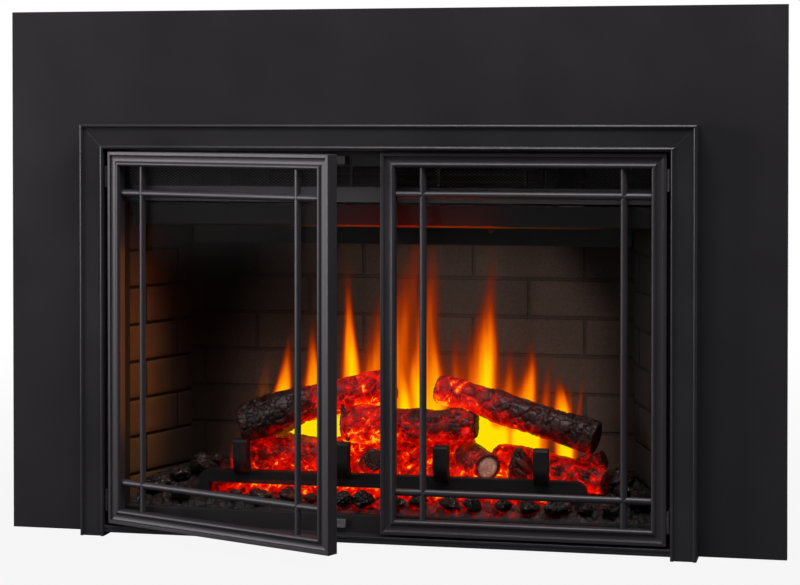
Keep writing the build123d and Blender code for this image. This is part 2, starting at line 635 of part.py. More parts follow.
with BuildPart() as catches:
    for x in (-77, 77):
        for z in (30.3, 589.4):
            with Locations((x, face - 3.05, z)):
                Box(36.5, 6.1, 12)
    chamfer(catches.edges().filter_by(Axis.Y), 1)
    for x in (-77, 77):
        for z in (30.3, 589.4):
            with Locations((x, face - 6.1, z)):
                Box(26, 1.2, 6, mode=Mode.SUBTRACT)
keep("magnetic_catches", catches.part)
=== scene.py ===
"""Looks of an electric fireplace insert, dressed over its CAD frame.

Metres in the frame's axes: X is the width, the front faces -Y and Z is up. Sizes of the
object are written in millimetres and turned by MM. The steelwork, the doors and the hidden
heater keep their CAD meshes and get finishes. The log set, embers, coals, bricks, outlet
mesh and the screen with its flames are built here.
"""

import logging
import math
from collections.abc import Callable, Iterator
from contextlib import contextmanager
from dataclasses import dataclass, field
from enum import Enum
from functools import cache, partial

import bmesh
import bpy
import numpy as np
from mathutils import Matrix, Vector, noise


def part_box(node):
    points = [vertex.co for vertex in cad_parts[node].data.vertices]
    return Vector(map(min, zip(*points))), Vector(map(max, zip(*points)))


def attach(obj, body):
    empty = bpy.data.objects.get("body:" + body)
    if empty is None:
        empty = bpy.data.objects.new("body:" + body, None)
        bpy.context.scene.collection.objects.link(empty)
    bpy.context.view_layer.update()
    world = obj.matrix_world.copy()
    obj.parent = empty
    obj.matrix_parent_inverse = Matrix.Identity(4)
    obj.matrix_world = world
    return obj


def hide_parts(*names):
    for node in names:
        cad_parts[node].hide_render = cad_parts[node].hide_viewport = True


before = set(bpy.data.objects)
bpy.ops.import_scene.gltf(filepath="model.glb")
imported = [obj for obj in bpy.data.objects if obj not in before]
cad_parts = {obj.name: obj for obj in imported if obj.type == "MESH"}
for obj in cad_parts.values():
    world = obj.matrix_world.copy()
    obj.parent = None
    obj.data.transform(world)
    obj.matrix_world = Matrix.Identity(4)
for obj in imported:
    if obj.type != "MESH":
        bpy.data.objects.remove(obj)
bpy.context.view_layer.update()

MM = 0.001
LOG = logging.getLogger("insert")
NOISE_SEED = 7
UP = Vector((0, 0, 1))
# settings of a Mix node that blends or multiplies colours: input 0 is the share, 6 and 7 the colours
BLEND = {"data_type": "RGBA", "out": 2}
DARKEN = BLEND | {"blend_type": "MULTIPLY"}

# Blender's vector noise starts from the clock, unless it gets a seed
noise.seed_set(NOISE_SEED)


# ------------------------------------------------------------------ small tools
def linear(hex_colour: str) -> tuple[float, float, float, float]:
    """Turns an sRGB colour into Blender's linear one.

    Args:
        hex_colour: six digits, with or without the hash.

    Returns:
        Red, green, blue and alpha, each 0 to 1.
    """
    digits = hex_colour.lstrip("#")
    parts = [int(digits[i : i + 2], 16) / 255 for i in (0, 2, 4)]
    red, green, blue = (p / 12.92 if p <= 0.04045 else ((p + 0.055) / 1.055) ** 2.4 for p in parts)
    return red, green, blue, 1.0


def per(size_mm: float) -> float:
    """A pattern's scale, from the size of its repeat in millimetres."""
    return 1 / (size_mm * MM)


def add_node(
    tree: bpy.types.NodeTree,
    kind: str,
    inputs: dict[str | int, object] | None = None,
    stops: dict[float, str | float] | None = None,
    out: str | int = 0,
    **settings: object,
) -> bpy.types.NodeSocket | None:
    """Adds one shader node with its values, links and settings.

    Args:
        tree: the node tree that gets it.
        kind: the node's type name after "ShaderNode".
        inputs: a value, an sRGB colour or a socket to link, by input name or number.
        stops: a colour ramp's colours or grey levels by place.
        out: the output to give back, by name or number.
        settings: the node's own properties.

    Returns:
        The new node's output, if it has one.
    """
    made = tree.nodes.new("ShaderNode" + kind)
    for name, value in settings.items():
        setattr(made, name, value)
    for name, value in (inputs or {}).items():
        if isinstance(value, bpy.types.NodeSocket):
            tree.links.new(value, made.inputs[name])
        else:
            made.inputs[name].default_value = linear(value) if isinstance(value, str) else value
    if stops:
        points = made.color_ramp.elements
        while len(points) < len(stops):
            points.new(0.5)
        for point, (place, colour) in zip(points, sorted(stops.items())):
            point.position = place
            point.color = linear(colour) if isinstance(colour, str) else (colour,) * 3 + (1.0,)
    return made.outputs[out] if made.outputs else None


def select(*objects: bpy.types.Object) -> None:
    """Selects these objects alone, with the first as the active one.

    Args:
        objects: one object or more.
    """
    bpy.ops.object.select_all(action="DESELECT")
    for obj in objects:
        obj.select_set(True)
    bpy.context.view_layer.objects.active = objects[0]


def added(operator: Callable[..., object], **settings: object) -> bpy.types.Object:
    """Runs an operator that adds an object, such as a cube or a lamp, and gives that object."""
    operator(**settings)
    return bpy.context.object


@contextmanager
def editing(obj: bpy.types.Object, chosen: bool = True) -> Iterator[None]:
    """Edit mode on one object.

    Args:
        obj: the mesh object to edit.
        chosen: whether all of it is selected at the start, or nothing.
    """
    select(obj)
    bpy.ops.object.mode_set(mode="EDIT")
    bpy.ops.mesh.select_all(action="SELECT" if chosen else "DESELECT")
    try:
        yield
    finally:
        bpy.ops.object.mode_set(mode="OBJECT")


def pick_faces(obj: bpy.types.Object, wanted: Callable[[bmesh.types.BMFace], bool]) -> None:
    """Selects faces of the mesh in edit mode.

    Args:
        obj: the object in edit mode.
        wanted: says for a face whether it is to be selected.
    """
    bpy.ops.mesh.select_mode(type="FACE")
    mesh = bmesh.from_edit_mesh(obj.data)
    for face in mesh.faces:
        face.select_set(wanted(face))
    bmesh.update_edit_mesh(obj.data)


def settle(obj: bpy.types.Object, name: str) -> bpy.types.Object:
    """Puts an object's place, turn and scale into its mesh and names it.

    Args:
        obj: the finished object.
        name: its plain name.

    Returns:
        The same object.
    """
    select(obj)
    bpy.ops.object.transform_apply(location=True, rotation=True, scale=True)
    obj.name = obj.data.name = name
    return obj


def join(objects: list[bpy.types.Object], name: str) -> bpy.types.Object:
    """Joins several objects to one, with their places kept.

    Args:
        objects: the objects, the first of which stays.
        name: the joined object's name.

    Returns:
        The joined object.
    """
    select(*objects)
    if len(objects) > 1:
        bpy.ops.object.join()
    return settle(objects[0], name)


def rows_of(obj: bpy.types.Object, what: str = "co") -> np.ndarray:
    """The mesh's vertex places, or its normals, as rows of X, Y and Z.

    Args:
        obj: the object.
        what: "co" for places in metres, "normal" for normals.

    Returns:
        A row for each vertex.
    """
    flat = np.zeros(len(obj.data.vertices) * 3)
    obj.data.vertices.foreach_get(what, flat)
    return flat.reshape(-1, 3)


def put_places(obj: bpy.types.Object, rows: np.ndarray) -> None:
    """Moves the mesh's vertices to these rows, in metres."""
    obj.data.vertices.foreach_set("co", rows.astype(np.float32).ravel())
    obj.data.update()


def put_values(obj: bpy.types.Object, **values: np.ndarray) -> None:
    """Keeps numbers per vertex as named attributes that a finish can read.

    Args:
        obj: the object whose mesh gets them.
        values: a number for each vertex, by the attribute's name.
    """
    for name, numbers in values.items():
        kept = obj.data.attributes.new(name, "FLOAT", "POINT")
        kept.data.foreach_set("value", np.clip(numbers, 0, 4).astype(np.float32))


def ease(low: float, high: float, value: np.ndarray | float) -> np.ndarray | float:
    """A smooth step from 0 at low to 1 at high."""
    t = np.clip((value - low) / (high - low), 0, 1)
    return t * t * (3 - 2 * t)


def smooth(obj: bpy.types.Object, degrees: float) -> None:
    """Shades an object smooth, except at edges sharper than this angle."""
    select(obj)
    bpy.ops.object.shade_smooth_by_angle(angle=math.radians(degrees))


def hand_over(obj: bpy.types.Object, slot: str, node: str | None = None) -> bpy.types.Object:
    """Lets a finished piece ride on the insert, and hides the CAD node that it stands for.

    Args:
        obj: the piece.
        slot: the material slot of the record; not used.
        node: the CAD node that it stands for, if any.

    Returns:
        The same piece.
    """
    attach(obj, "insert")
    if node:
        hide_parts(node)
    return obj


# ------------------------------------------------------------------ finishes
@dataclass(frozen=True)
class Finish:
    """A surface that is made once and put on many pieces."""

    name: str

    def surface(self, tree: bpy.types.NodeTree) -> bpy.types.NodeSocket:
        """Builds the surface's nodes in the tree and gives the shader for its output."""
        raise NotImplementedError

    def dress(self, *objects: bpy.types.Object) -> None:
        """Gives the objects this finish alone.

        Args:
            objects: pieces or CAD nodes.
        """
        for obj in objects:
            obj.data.materials.clear()
            obj.data.materials.append(material_of(self))


@cache
def material_of(finish: Finish) -> bpy.types.Material:
    """The Blender material of a finish, built the first time that it is asked for.

    Args:
        finish: the finish.

    Returns:
        Its material.
    """
    made = bpy.data.materials.new(finish.name)
    made.use_nodes = True
    made.node_tree.nodes.clear()
    add_node(made.node_tree, "OutputMaterial", {"Surface": finish.surface(made.node_tree)})
    return made


@dataclass(frozen=True)
class PowderCoat(Finish):
    """Polyester powder coat, sprayed and baked on sheet steel.

    It gives the eye a dead even black with a fine orange-peel skin, a broad soft sheen,
    and rims painted a little lighter, partly as wear where the coat is thin and partly as a
    painted highlight along every edge.
    """

    colour: str = "#151516"
    rim: str = "#2c2c2e"
    roughness: float = 0.42
    peel_mm: float = 1.6
    peel_depth_mm: float = 0.02
    drift_mm: float = 140.0
    rim_mm: float = 0.8

    def surface(self, tree: bpy.types.NodeTree) -> bpy.types.NodeSocket:
        """Even black with orange peel, drifting gloss, and lighter rims that are partly wear and partly a
        painted highlight.
        """
        add = partial(add_node, tree)
        place = add("TexCoord", out="Object")
        drift = add("TexNoise", {"Vector": place, "Scale": per(self.drift_mm), "Detail": 3.0})
        peel = add("TexNoise", {"Vector": place, "Scale": per(self.peel_mm), "Detail": 2.0})
        rim = add("Bevel", {"Radius": self.rim_mm * MM}, samples=3)
        flat = add("NewGeometry", out="Normal")
        match = add("VectorMath", {0: rim, 1: flat}, out="Value", operation="DOT_PRODUCT")
        # painted highlight, partly wear: the rims that the bevel finds are painted in the lighter rim colour
        rim_wear_and_highlight = add("ValToRGB", {"Fac": match}, {0.80: 1.0, 0.985: 0.0})
        mottle = add("Mix", {0: drift, 6: self.colour, 7: self.rim}, **BLEND)
        dark = add("Mix", {0: 0.75, 6: mottle, 7: self.colour}, **BLEND)
        skin = add("Mix", {0: rim_wear_and_highlight, 6: dark, 7: self.rim}, **BLEND)
        span = {"To Min": self.roughness - 0.05, "To Max": self.roughness + 0.07}
        gloss = add("MapRange", {"Value": drift, **span})
        depth = self.peel_depth_mm * MM
        bump = add("Bump", {"Height": peel, "Distance": depth, "Strength": 0.6, "Normal": rim})
        looks = {"Base Color": skin, "Roughness": gloss, "Normal": bump, "IOR": 1.5}
        return add("BsdfPrincipled", looks)


@dataclass(frozen=True)
class ZincSheet(Finish):
    """Hot-dip galvanised steel sheet, folded after dipping.

    It gives the eye a cold grey metal with spangles, patches that each shine their own way.
    """

    spangle_mm: float = 11.0
    dull_mm: float = 90.0

    def surface(self, tree: bpy.types.NodeTree) -> bpy.types.NodeSocket:
        """Zinc crystals that differ in grey and in gloss."""
        add = partial(add_node, tree)
        place = add("TexCoord", out="Object")
        crystal = add("TexVoronoi", {"Vector": place, "Scale": per(self.spangle_mm)}, out="Color")
        grey = add("ValToRGB", {"Fac": crystal}, {0.1: "#8f9396", 0.6: "#a7abad", 0.9: "#babdbe"})
        gloss = add("MapRange", {"Value": crystal, "To Min": 0.36, "To Max": 0.56})
        dull = add("TexNoise", {"Vector": place, "Scale": per(self.dull_mm), "Detail": 4.0})
        skin = add("Mix", {0: dull, 6: grey, 7: "#7d8083"}, **BLEND)
        return add("BsdfPrincipled", {"Base Color": skin, "Metallic": 1.0, "Roughness": gloss})


@dataclass(frozen=True)
class PlainMetal(Finish):
    """Rolled or spun bare metal, such as aluminium strip, foil or nickel-plated wire.

    It gives the eye a bright skin with fine lines along the rolling direction.
    """

    colour: str = "#c4c6c8"
    roughness: float = 0.35
    line_mm: float = 0.7
    stretch: tuple[float, float, float] = (0.04, 1.0, 1.0)

    def surface(self, tree: bpy.types.NodeTree) -> bpy.types.NodeSocket:
        """Metal with lines stretched along X."""
        add = partial(add_node, tree)
        place = add("TexCoord", out="Object")
        drawn = add("Mapping", {"Vector": place, "Scale": self.stretch})
        lines = add("TexNoise", {"Vector": drawn, "Scale": per(self.line_mm), "Detail": 3.0})
        span = {"To Min": self.roughness * 0.7, "To Max": self.roughness * 1.4}
        gloss = add("MapRange", {"Value": lines, **span})
        tone = add("Mix", {0: lines, 6: self.colour, 7: "#8b8d90"}, **BLEND)
        bump = add("Bump", {"Height": lines, "Distance": 0.01 * MM, "Strength": 0.5})
        looks = {"Base Color": tone, "Metallic": 1.0, "Roughness": gloss, "Normal": bump}
        return add("BsdfPrincipled", looks)


@dataclass(frozen=True)
class MouldedPlastic(Finish):
    """Injection-moulded nylon or ABS with a spark-eroded grain.

    It gives the eye an even tone, a fine pebbled skin and no metallic glint.
    """

    colour: str = "#1b1b1d"
    roughness: float = 0.5
    grain_mm: float = 0.6
    cloud_mm: float = 30.0

    def surface(self, tree: bpy.types.NodeTree) -> bpy.types.NodeSocket:
        """Pebbled plastic, slightly cloudy."""
        add = partial(add_node, tree)
        place = add("TexCoord", out="Object")
        grain = add("TexVoronoi", {"Vector": place, "Scale": per(self.grain_mm)})
        cloud = add("TexNoise", {"Vector": place, "Scale": per(self.cloud_mm), "Detail": 2.0})
        lift = add("MapRange", {"Value": cloud, "To Min": 0.85, "To Max": 1.18})
        tone = add("HueSaturation", {"Color": self.colour, "Value": lift})
        bump = add("Bump", {"Height": grain, "Distance": 0.03 * MM, "Strength": 0.6})
        looks = {"Base Color": tone, "Roughness": self.roughness, "Normal": bump, "IOR": 1.5}
        return add("BsdfPrincipled", looks)


@dataclass(frozen=True)
class ClearGlass(Finish):
    """Float glass, 4 mm, with an anti-reflective coating.

    It gives the eye almost nothing but a faint soft veil. The coating is drawn as a low IOR
    and as part coverage, which also lets the studio light through to the firebox.
    """

    smear_mm: float = 60.0
    roughness: float = 0.1
    ior: float = 1.15
    coverage: float = 0.035

    def surface(self, tree: bpy.types.NodeTree) -> bpy.types.NodeSocket:
        """Clear glass with faint smears that only change its tint."""
        add = partial(add_node, tree)
        place = add("TexCoord", out="Object")
        smear = add("TexNoise", {"Vector": place, "Scale": per(self.smear_mm), "Detail": 3.0})
        tint = add("ValToRGB", {"Fac": smear}, {0.35: "#fdfefe", 0.7: "#f6f9f8"})
        looks = {"Base Color": tint, "Roughness": self.roughness, "Transmission Weight": 1.0}
        return add("BsdfPrincipled", looks | {"IOR": self.ior, "Alpha": self.coverage})


@dataclass(frozen=True)
class CastBrick(Finish):
    """Ceramic-fibre board cast against a brick mould and painted.

    It gives the eye a dry sandy face, warm brown-grey, blotched brick by brick.
    """

    colour: str
    dark: str
    grit_mm: float = 1.7
    blotch_mm: float = 45.0
    # painted shade: from start to end, in millimetres, the face darkens to the share left, towards the back
    # and towards the top
    soot_by_y: tuple[float, float, float] = (50.0, 118.0, 0.12)
    soot_by_z: tuple[float, float, float] = (300.0, 470.0, 0.3)

    def surface(self, tree: bpy.types.NodeTree) -> bpy.types.NodeSocket:
        """Sandy face with blotches and grit, darkened by painted shade towards the back and the top."""
        add = partial(add_node, tree)
        place = add("TexCoord", out="Object")
        axes = add("SeparateXYZ", {0: place}).node.outputs
        # painted shade towards the back and the top, as a factor on the colour
        clean = []
        for axis, (start, end, left) in (("Y", self.soot_by_y), ("Z", self.soot_by_z)):
            span = {"From Min": start * MM, "From Max": end * MM, "To Min": 1.0, "To Max": left}
            clean.append(add("MapRange", {"Value": axes[axis], **span}))
        share = add("Math", dict(enumerate(clean)), operation="MULTIPLY")
        blotch = add("TexNoise", {"Vector": place, "Scale": per(self.blotch_mm), "Detail": 4.0})
        grit = add("TexNoise", {"Vector": place, "Scale": per(self.grit_mm), "Detail": 3.0})
        tone = add("Mix", {0: blotch, 6: self.dark, 7: self.colour}, **BLEND)
        speck = add("ValToRGB", {"Fac": grit}, {0.30: 0.62, 0.5: 1.0, 0.72: 1.3})
        skin = add("Mix", {0: 1.0, 6: tone, 7: speck}, **DARKEN)
        sooted = add("Mix", {0: 1.0, 6: skin, 7: share}, **DARKEN)
        bump = add("Bump", {"Height": grit, "Distance": 0.35 * MM, "Strength": 0.8})
        looks = {"Base Color": sooted, "Roughness": 0.9, "Normal": bump, "Specular IOR Level": 0.3}
        return add("BsdfPrincipled", looks)


@dataclass(frozen=True)
class FlameScreenSkin(Finish):
    """Back-lit acrylic screen, moulded and painted as brickwork.

    Where the flame picture falls on it from behind it glows from dark red through orange
    to yellow, and elsewhere it is dull sandy brick with fine grooves round each brick.
    """

    brick: tuple[float, float] = (180.0, 60.9)
    corner: tuple[float, float] = (107.3, 92.9)
    joint: float = 5.4
    grit_mm: float = 2.2

    def surface(self, tree: bpy.types.NodeTree) -> bpy.types.NodeSocket:
        """Brick mould with grooves, painted shade at the grooves' edges, along the left and in the upper
        corners, and the flame picture as light.
        """
        add = partial(add_node, tree)
        place = add("TexCoord", out="Object")
        axes = add("SeparateXYZ", {0: place}).node.outputs
        along, up = (
            add("Math", {0: axes[axis], 1: start * MM}, operation="SUBTRACT")
            for axis, start in zip("XZ", self.corner)
        )
        wall = add("CombineXYZ", {"X": along, "Y": up})
        courses = {
            "Vector": wall,
            "Scale": 1.0,
            "Brick Width": self.brick[0] * MM,
            "Row Height": self.brick[1] * MM,
            "Mortar Size": (self.joint / 2 + 0.8) * MM,
            "Mortar Smooth": 0.5,
            "Color1": "#5d4f45",
            "Color2": "#54473e",
            "Mortar": "#4b413a",
        }
        bond = add("TexBrick", courses, offset=0.5)
        groove = bond.node.outputs["Fac"]
        grit = add("TexNoise", {"Vector": place, "Scale": per(self.grit_mm), "Detail": 3.0})
        speck = add("ValToRGB", {"Fac": grit}, {0.3: 0.75, 0.5: 1.0, 0.7: 1.2})
        skin = add("Mix", {0: 1.0, 6: bond, 7: speck}, **DARKEN)
        # painted shade: the grooves' sloped edges are painted dark, as the shade that falls in them
        rim = add("ValToRGB", {"Fac": groove}, {0.2: 1.0, 0.4: 0.3, 0.6: 0.3, 0.8: 0.95})
        # painted shade: darkens the screen along the left and in the upper corners, where shade falls
        soot = add("Attribute", out="Fac", attribute_name="soot")
        clean = add("ValToRGB", {"Fac": soot}, {0.0: 1.0, 1.0: 0.10})
        shade = add("Mix", {0: 1.0, 6: clean, 7: rim}, **DARKEN)
        lined = add("Mix", {0: 1.0, 6: skin, 7: shade}, **DARKEN)
        fall = add("Math", {0: 1.0, 1: groove}, operation="SUBTRACT")
        coarse = add("Bump", {"Height": fall, "Distance": 1.2 * MM, "Strength": 1.0})
        fine = add("Bump", {"Height": grit, "Distance": 0.2 * MM, "Strength": 0.6, "Normal": coarse})
        flame = add("Attribute", out="Fac", attribute_name="flame_light")
        clear = add("MapRange", {"Value": flame, "From Min": 0.05, "From Max": 0.4})
        window = add("Mix", {0: clear, 6: lined, 7: "#0a0503"}, **BLEND)
        fire = {
            0.0: "#000000",
            0.12: "#1e0700",
            0.26: "#561700",
            0.40: "#942b00",
            0.52: "#cc4c00",
            0.64: "#f87200",
            0.76: "#ff9600",
            0.88: "#ffc400",
            1.0: "#ffe000",
        }
        glow = add("ValToRGB", {"Fac": flame}, fire)
        looks = {"Base Color": window, "Roughness": 0.85, "Normal": fine, "Specular IOR Level": 0.1}
        return add("BsdfPrincipled", looks | {"Emission Color": glow, "Emission Strength": 1.0})


@dataclass(frozen=True)
class GlowingResin(Finish):
    """Cast polyester resin, painted as charred wood and lit from inside.

    The paint gives brown-black bark with a grey bloom of ash, which on the logs and coals
    leans to their lit front and top as a painted highlight. Where it is rubbed thin the
    red light inside shows through, orange along the cracks.
    """

    char: str = "#080403"
    bark: str = "#2a1510"
    ash: str = "#452f27"
    grain_mm: float = 4.5
    patch_mm: float = 19.0
    vein_mm: float = 16.0
    warp_mm: float = 12.0
    roughness: float = 0.4

    def surface(self, tree: bpy.types.NodeTree) -> bpy.types.NodeSocket:
        """Char, ash that on logs and coals is partly a painted highlight, and the red light, from the mesh's
        own light, crack and ash values.
        """
        add = partial(add_node, tree)
        place = add("TexCoord", out="Object")
        light, crack, bloom, sawn = (
            add("Attribute", out="Fac", attribute_name=name)
            for name in ("ember_light", "crack", "bloom", "sawn_face")
        )
        warp = add("TexNoise", {"Vector": place, "Scale": per(self.warp_mm), "Detail": 2.0})
        reach = (self.warp_mm * MM,) * 3
        shift = add("VectorMath", {0: warp.node.outputs["Color"], 1: reach}, operation="MULTIPLY")
        bent = add("VectorMath", {0: place, 1: shift}, operation="ADD")
        cells = {"Vector": bent, "Scale": per(self.vein_mm)}
        vein = add("TexVoronoi", cells, feature="DISTANCE_TO_EDGE")
        line = add("ValToRGB", {"Fac": vein}, {0.0: 1.0, 0.025: 0.5, 0.06: 0.0})
        fibre = {"Vector": place, "Scale": per(self.grain_mm), "Detail": 5.0, "Roughness": 0.6}
        grain = add("TexNoise", fibre)
        spots = {"Vector": bent, "Scale": per(self.patch_mm), "Detail": 2.5, "Distortion": 0.5}
        patch = add("TexNoise", spots)
        # paint lies thick in patches, and thins out along some of the cracks
        thick, rough, some = (
            add("MapRange", {"Value": value, "From Min": a, "From Max": b, "To Min": c, "To Max": d})
            for value, a, b, c, d in (
                (patch, 0.34, 0.62, -0.24, 0.05),
                (grain, 0.3, 0.7, -0.08, 0.05),
                (warp, 0.44, 0.62, 0.02, 0.42),
            )
        )
        seams = add("Math", {0: line, 1: crack}, operation="MAXIMUM")
        seam_light = add("Math", {0: seams, 1: some}, operation="MULTIPLY")
        mixed = add("Math", {0: thick, 1: rough}, operation="ADD")
        mottled = add("Math", {0: mixed, 1: seam_light}, operation="ADD")
        gated = add("MapRange", {"Value": light, "From Min": 0.02, "From Max": 0.45})
        varied = add("Math", {0: mottled, 1: gated}, operation="MULTIPLY")
        through = add("Math", {0: light, 1: varied}, operation="ADD")
        embers = {
            0.0: "#000000",
            0.16: "#100000",
            0.34: "#4e0200",
            0.50: "#940300",
            0.64: "#cc0600",
            0.80: "#fa1800",
            0.92: "#ff6206",
            1.0: "#ffb41a",
        }
        glow = add("ValToRGB", {"Fac": through}, embers)
        wood = add("Mix", {0: grain, 6: self.char, 7: self.bark}, **BLEND)
        # grey bloom: ash, and on logs and coals partly a painted highlight on their lit side
        ash_and_painted_highlight = add("Math", {0: bloom, 1: patch}, operation="MULTIPLY")
        grey = add("Mix", {0: ash_and_painted_highlight, 6: wood, 7: self.ash}, **BLEND)
        skin = add("Mix", {0: seams, 6: grey, 7: "#060303"}, **BLEND)
        faced = add("Mix", {0: sawn, 6: skin, 7: "#f4cdae"}, **BLEND)
        thin = add("MapRange", {"Value": through, "From Min": 0.2, "From Max": 0.6})
        glazed = add("Mix", {0: thin, 6: faced, 7: "#120201"}, **BLEND)
        span = {"To Min": self.roughness, "To Max": min(1, self.roughness + 0.3)}
        gloss = add("MapRange", {"Value": thin, **span})
        height = add("Math", {0: grain, 1: seams}, operation="SUBTRACT")
        bump = add("Bump", {"Height": height, "Distance": 1.1 * MM, "Strength": 0.8})
        looks = {"Base Color": glazed, "Roughness": gloss, "Normal": bump, "Specular IOR Level": 0.2}
        return add("BsdfPrincipled", looks | {"Emission Color": glow, "Emission Strength": 1.0})


@dataclass(frozen=True)
class CastIron(Finish):
    """Sand-cast iron under matt black stove paint.

    It gives the eye a deep grainy black that hardly shines.
    """

    colour: str = "#080707"
    sand_mm: float = 1.2

    def surface(self, tree: bpy.types.NodeTree) -> bpy.types.NodeSocket:
        """Grainy matt black."""
        add = partial(add_node, tree)
        place = add("TexCoord", out="Object")
        sand = add("TexNoise", {"Vector": place, "Scale": per(self.sand_mm), "Detail": 4.0})
        tone = add("Mix", {0: sand, 6: self.colour, 7: "#121010"}, **BLEND)
        bump = add("Bump", {"Height": sand, "Distance": 0.12 * MM, "Strength": 0.8})
        looks = {"Base Color": tone, "Roughness": 0.6, "Normal": bump, "Specular IOR Level": 0.2}
        return add("BsdfPrincipled", looks)


@dataclass(frozen=True)
class LedBoard(Finish):
    """White solder-masked circuit board with light-emitting diodes.

    It gives the eye a satin white strip, slightly uneven under the lacquer.
    """

    weave_mm: float = 6.0

    def surface(self, tree: bpy.types.NodeTree) -> bpy.types.NodeSocket:
        """Satin white with a faint weave of the glass cloth below."""
        add = partial(add_node, tree)
        cloth = {"Vector": add("TexCoord", out="Object"), "Scale": per(self.weave_mm), "Distortion": 0.4}
        weave = add("TexWave", cloth, out="Fac")
        tone = add("Mix", {0: weave, 6: "#dfe0da", 7: "#eeefe9"}, **BLEND)
        return add("BsdfPrincipled", {"Base Color": tone, "Roughness": 0.35, "IOR": 1.5})


PANEL_COAT = PowderCoat("powder_coat_panel", colour="#1e1d1f", rim="#343436", roughness=0.33)
TRIM_COAT = PowderCoat("powder_coat_trim", colour="#161618", rim="#4a494d", roughness=0.32)
DOOR_COAT = PowderCoat("powder_coat_door", colour="#1d1a1d", rim="#413e42", peel_mm=1.2)
FACE_COAT = PowderCoat("powder_coat_face", colour="#0e0d0e", rim="#222123", roughness=0.5)
RAIL_COAT = PowderCoat("powder_coat_rail", colour="#282728", rim="#3c3b3c", roughness=0.45)
# the baffle and header plate are painted near black as the shade under the header, and the red in their rim
# colour is painted ember light along their edges
BAFFLE_COAT = PowderCoat("heatproof_enamel_baffle", colour="#040303", rim="#0e0808", roughness=0.3)
ZINC = ZincSheet("galvanised_sheet")
ALUMINIUM = PlainMetal("rolled_aluminium")
NICKEL_WIRE = PlainMetal("nickel_plated_steel", colour="#a9a49c", roughness=0.45)
FOIL = PlainMetal("polished_foil", colour="#d8d9da", roughness=0.12, line_mm=1.5)
MOTOR_STEEL = PowderCoat("painted_motor_steel", colour="#2b2b2d", rim="#4a4a4c", roughness=0.55)
NYLON = MouldedPlastic("moulded_nylon", colour="#cfcabb")
BLACK_PLASTIC = MouldedPlastic("moulded_abs_black")
CATCH_PLASTIC = MouldedPlastic("moulded_catch_plastic", colour="#5a595b", roughness=0.4)
GLASS = ClearGlass("coated_float_glass")
# both liners wear one cast brick in two copies: the left copy's amber is partly painted firelight, and the
# right copy's near black is painted shade
LINER_BRICK = CastBrick("cast_liner_brick", colour="#54360f", dark="#3a240b")
SHADED_LINER_BRICK = CastBrick("sooted_liner_brick", colour="#110e0b", dark="#0b0907")
LINER_MORTAR = CastBrick("cast_liner_mortar", colour="#1c130b", dark="#120c07", grit_mm=1.2)
SCREEN_BRICK = FlameScreenSkin("back_lit_brick_screen")
LOG_RESIN = GlowingResin("painted_log_resin")
BED_RESIN = GlowingResin(
    "painted_ember_resin",
    char="#0a0605",
    bark="#20120f",
    ash="#33261f",
    grain_mm=3.6,
    patch_mm=15,
    vein_mm=10,
    roughness=0.55,
)
COAL_RESIN = GlowingResin(
    "painted_coal_resin",
    char="#050404",
    bark="#130d0c",
    ash="#3d3330",
    grain_mm=2.6,
    patch_mm=9,
    vein_mm=9,
    roughness=0.24,
)
IRON = CastIron("stove_painted_iron")
LED = LedBoard("led_board_white")


# ------------------------------------------------------------------ flame screen
@dataclass(frozen=True)
class Tongue:
    """One tongue of the flame picture on the screen, in millimetres.

    Attributes:
        foot: where its middle stands along X.
        tip: where its tip is along X.
        top: how high the tip is.
        width: its half width near the foot.
        heat: how bright the foot is, 1 is full yellow.
        soft: how wide its edge fades, 1 is as wide as the tongue.
    """

    foot: float
    tip: float
    top: float
    width: float
    heat: float
    soft: float

    def brightness(self, x: np.ndarray, z: np.ndarray, ground: float) -> np.ndarray:
        """How bright the tongue makes each place.

        Args:
            x: places along the width, in millimetres.
            z: heights, in millimetres.
            ground: the height where flames start.

        Returns:
            Brightness from 0 to 1.
        """
        t = np.clip((z - ground) / (self.top - ground), 0, 1.3)
        low = np.clip(t, 0, 1)
        sway = 0.16 * self.width * np.sin(5.2 * t + 0.7 * self.foot) * t
        off = x - (self.foot + (self.tip - self.foot) * t**1.5 + sway)
        full = np.clip(1.16 - t, 0.0, 1) ** 0.75 * (0.92 + 0.45 * low * (1 - low))
        across = np.abs(off) / (self.width * (full + 0.06)) * np.where(off > 0, 1.2, 0.9)
        body = 1 - ease(1 - self.soft, 1.35, across)
        return self.heat * body * (1 - ease(0.5, 1.22, t)) * (1 - 0.36 * low**1.3)


# foot, tip, top, width, heat and softness of each tongue, from left to right
TONGUES = (
    (-240, -241, 236, 11, 0.44, 1.0),
    (-220, -207, 262, 16, 0.90, 0.9),
    (-205, -199, 296, 18, 0.97, 0.9),
    (-161, -152, 326, 22, 0.94, 0.9),
    (-138, -130, 300, 22, 0.42, 1.0),
    (-91, -99, 388, 22, 1.02, 0.85),
    (-90, -102, 455, 24, 0.34, 1.0),
    (-64, -42, 372, 36, 0.72, 1.0),
    (-22, -14, 420, 40, 0.56, 1.0),
    (-14, 24, 520, 40, 0.44, 1.0),
    (-9, -8, 262, 16, 0.96, 0.8),
    (20, 19, 300, 24, 1.00, 0.9),
    (32, 34, 470, 42, 0.60, 1.0),
    (50, 42, 330, 24, 0.82, 0.9),
    (84, 80, 330, 26, 0.50, 1.0),
    (104, 116, 380, 30, 0.54, 1.0),
    (124, 136, 365, 25, 0.99, 0.9),
    (122, 137, 455, 24, 0.54, 0.9),
    (146, 146, 300, 24, 0.46, 1.0),
    (160, 172, 296, 22, 0.66, 1.0),
    (194, 197, 298, 29, 0.93, 1.0),
    (222, 232, 276, 15, 0.56, 1.0),
    (256, 240, 244, 19, 1.02, 0.8),
    (262, 262, 250, 12, 0.50, 1.0),
    (274, 286, 258, 11, 0.44, 1.0),
)


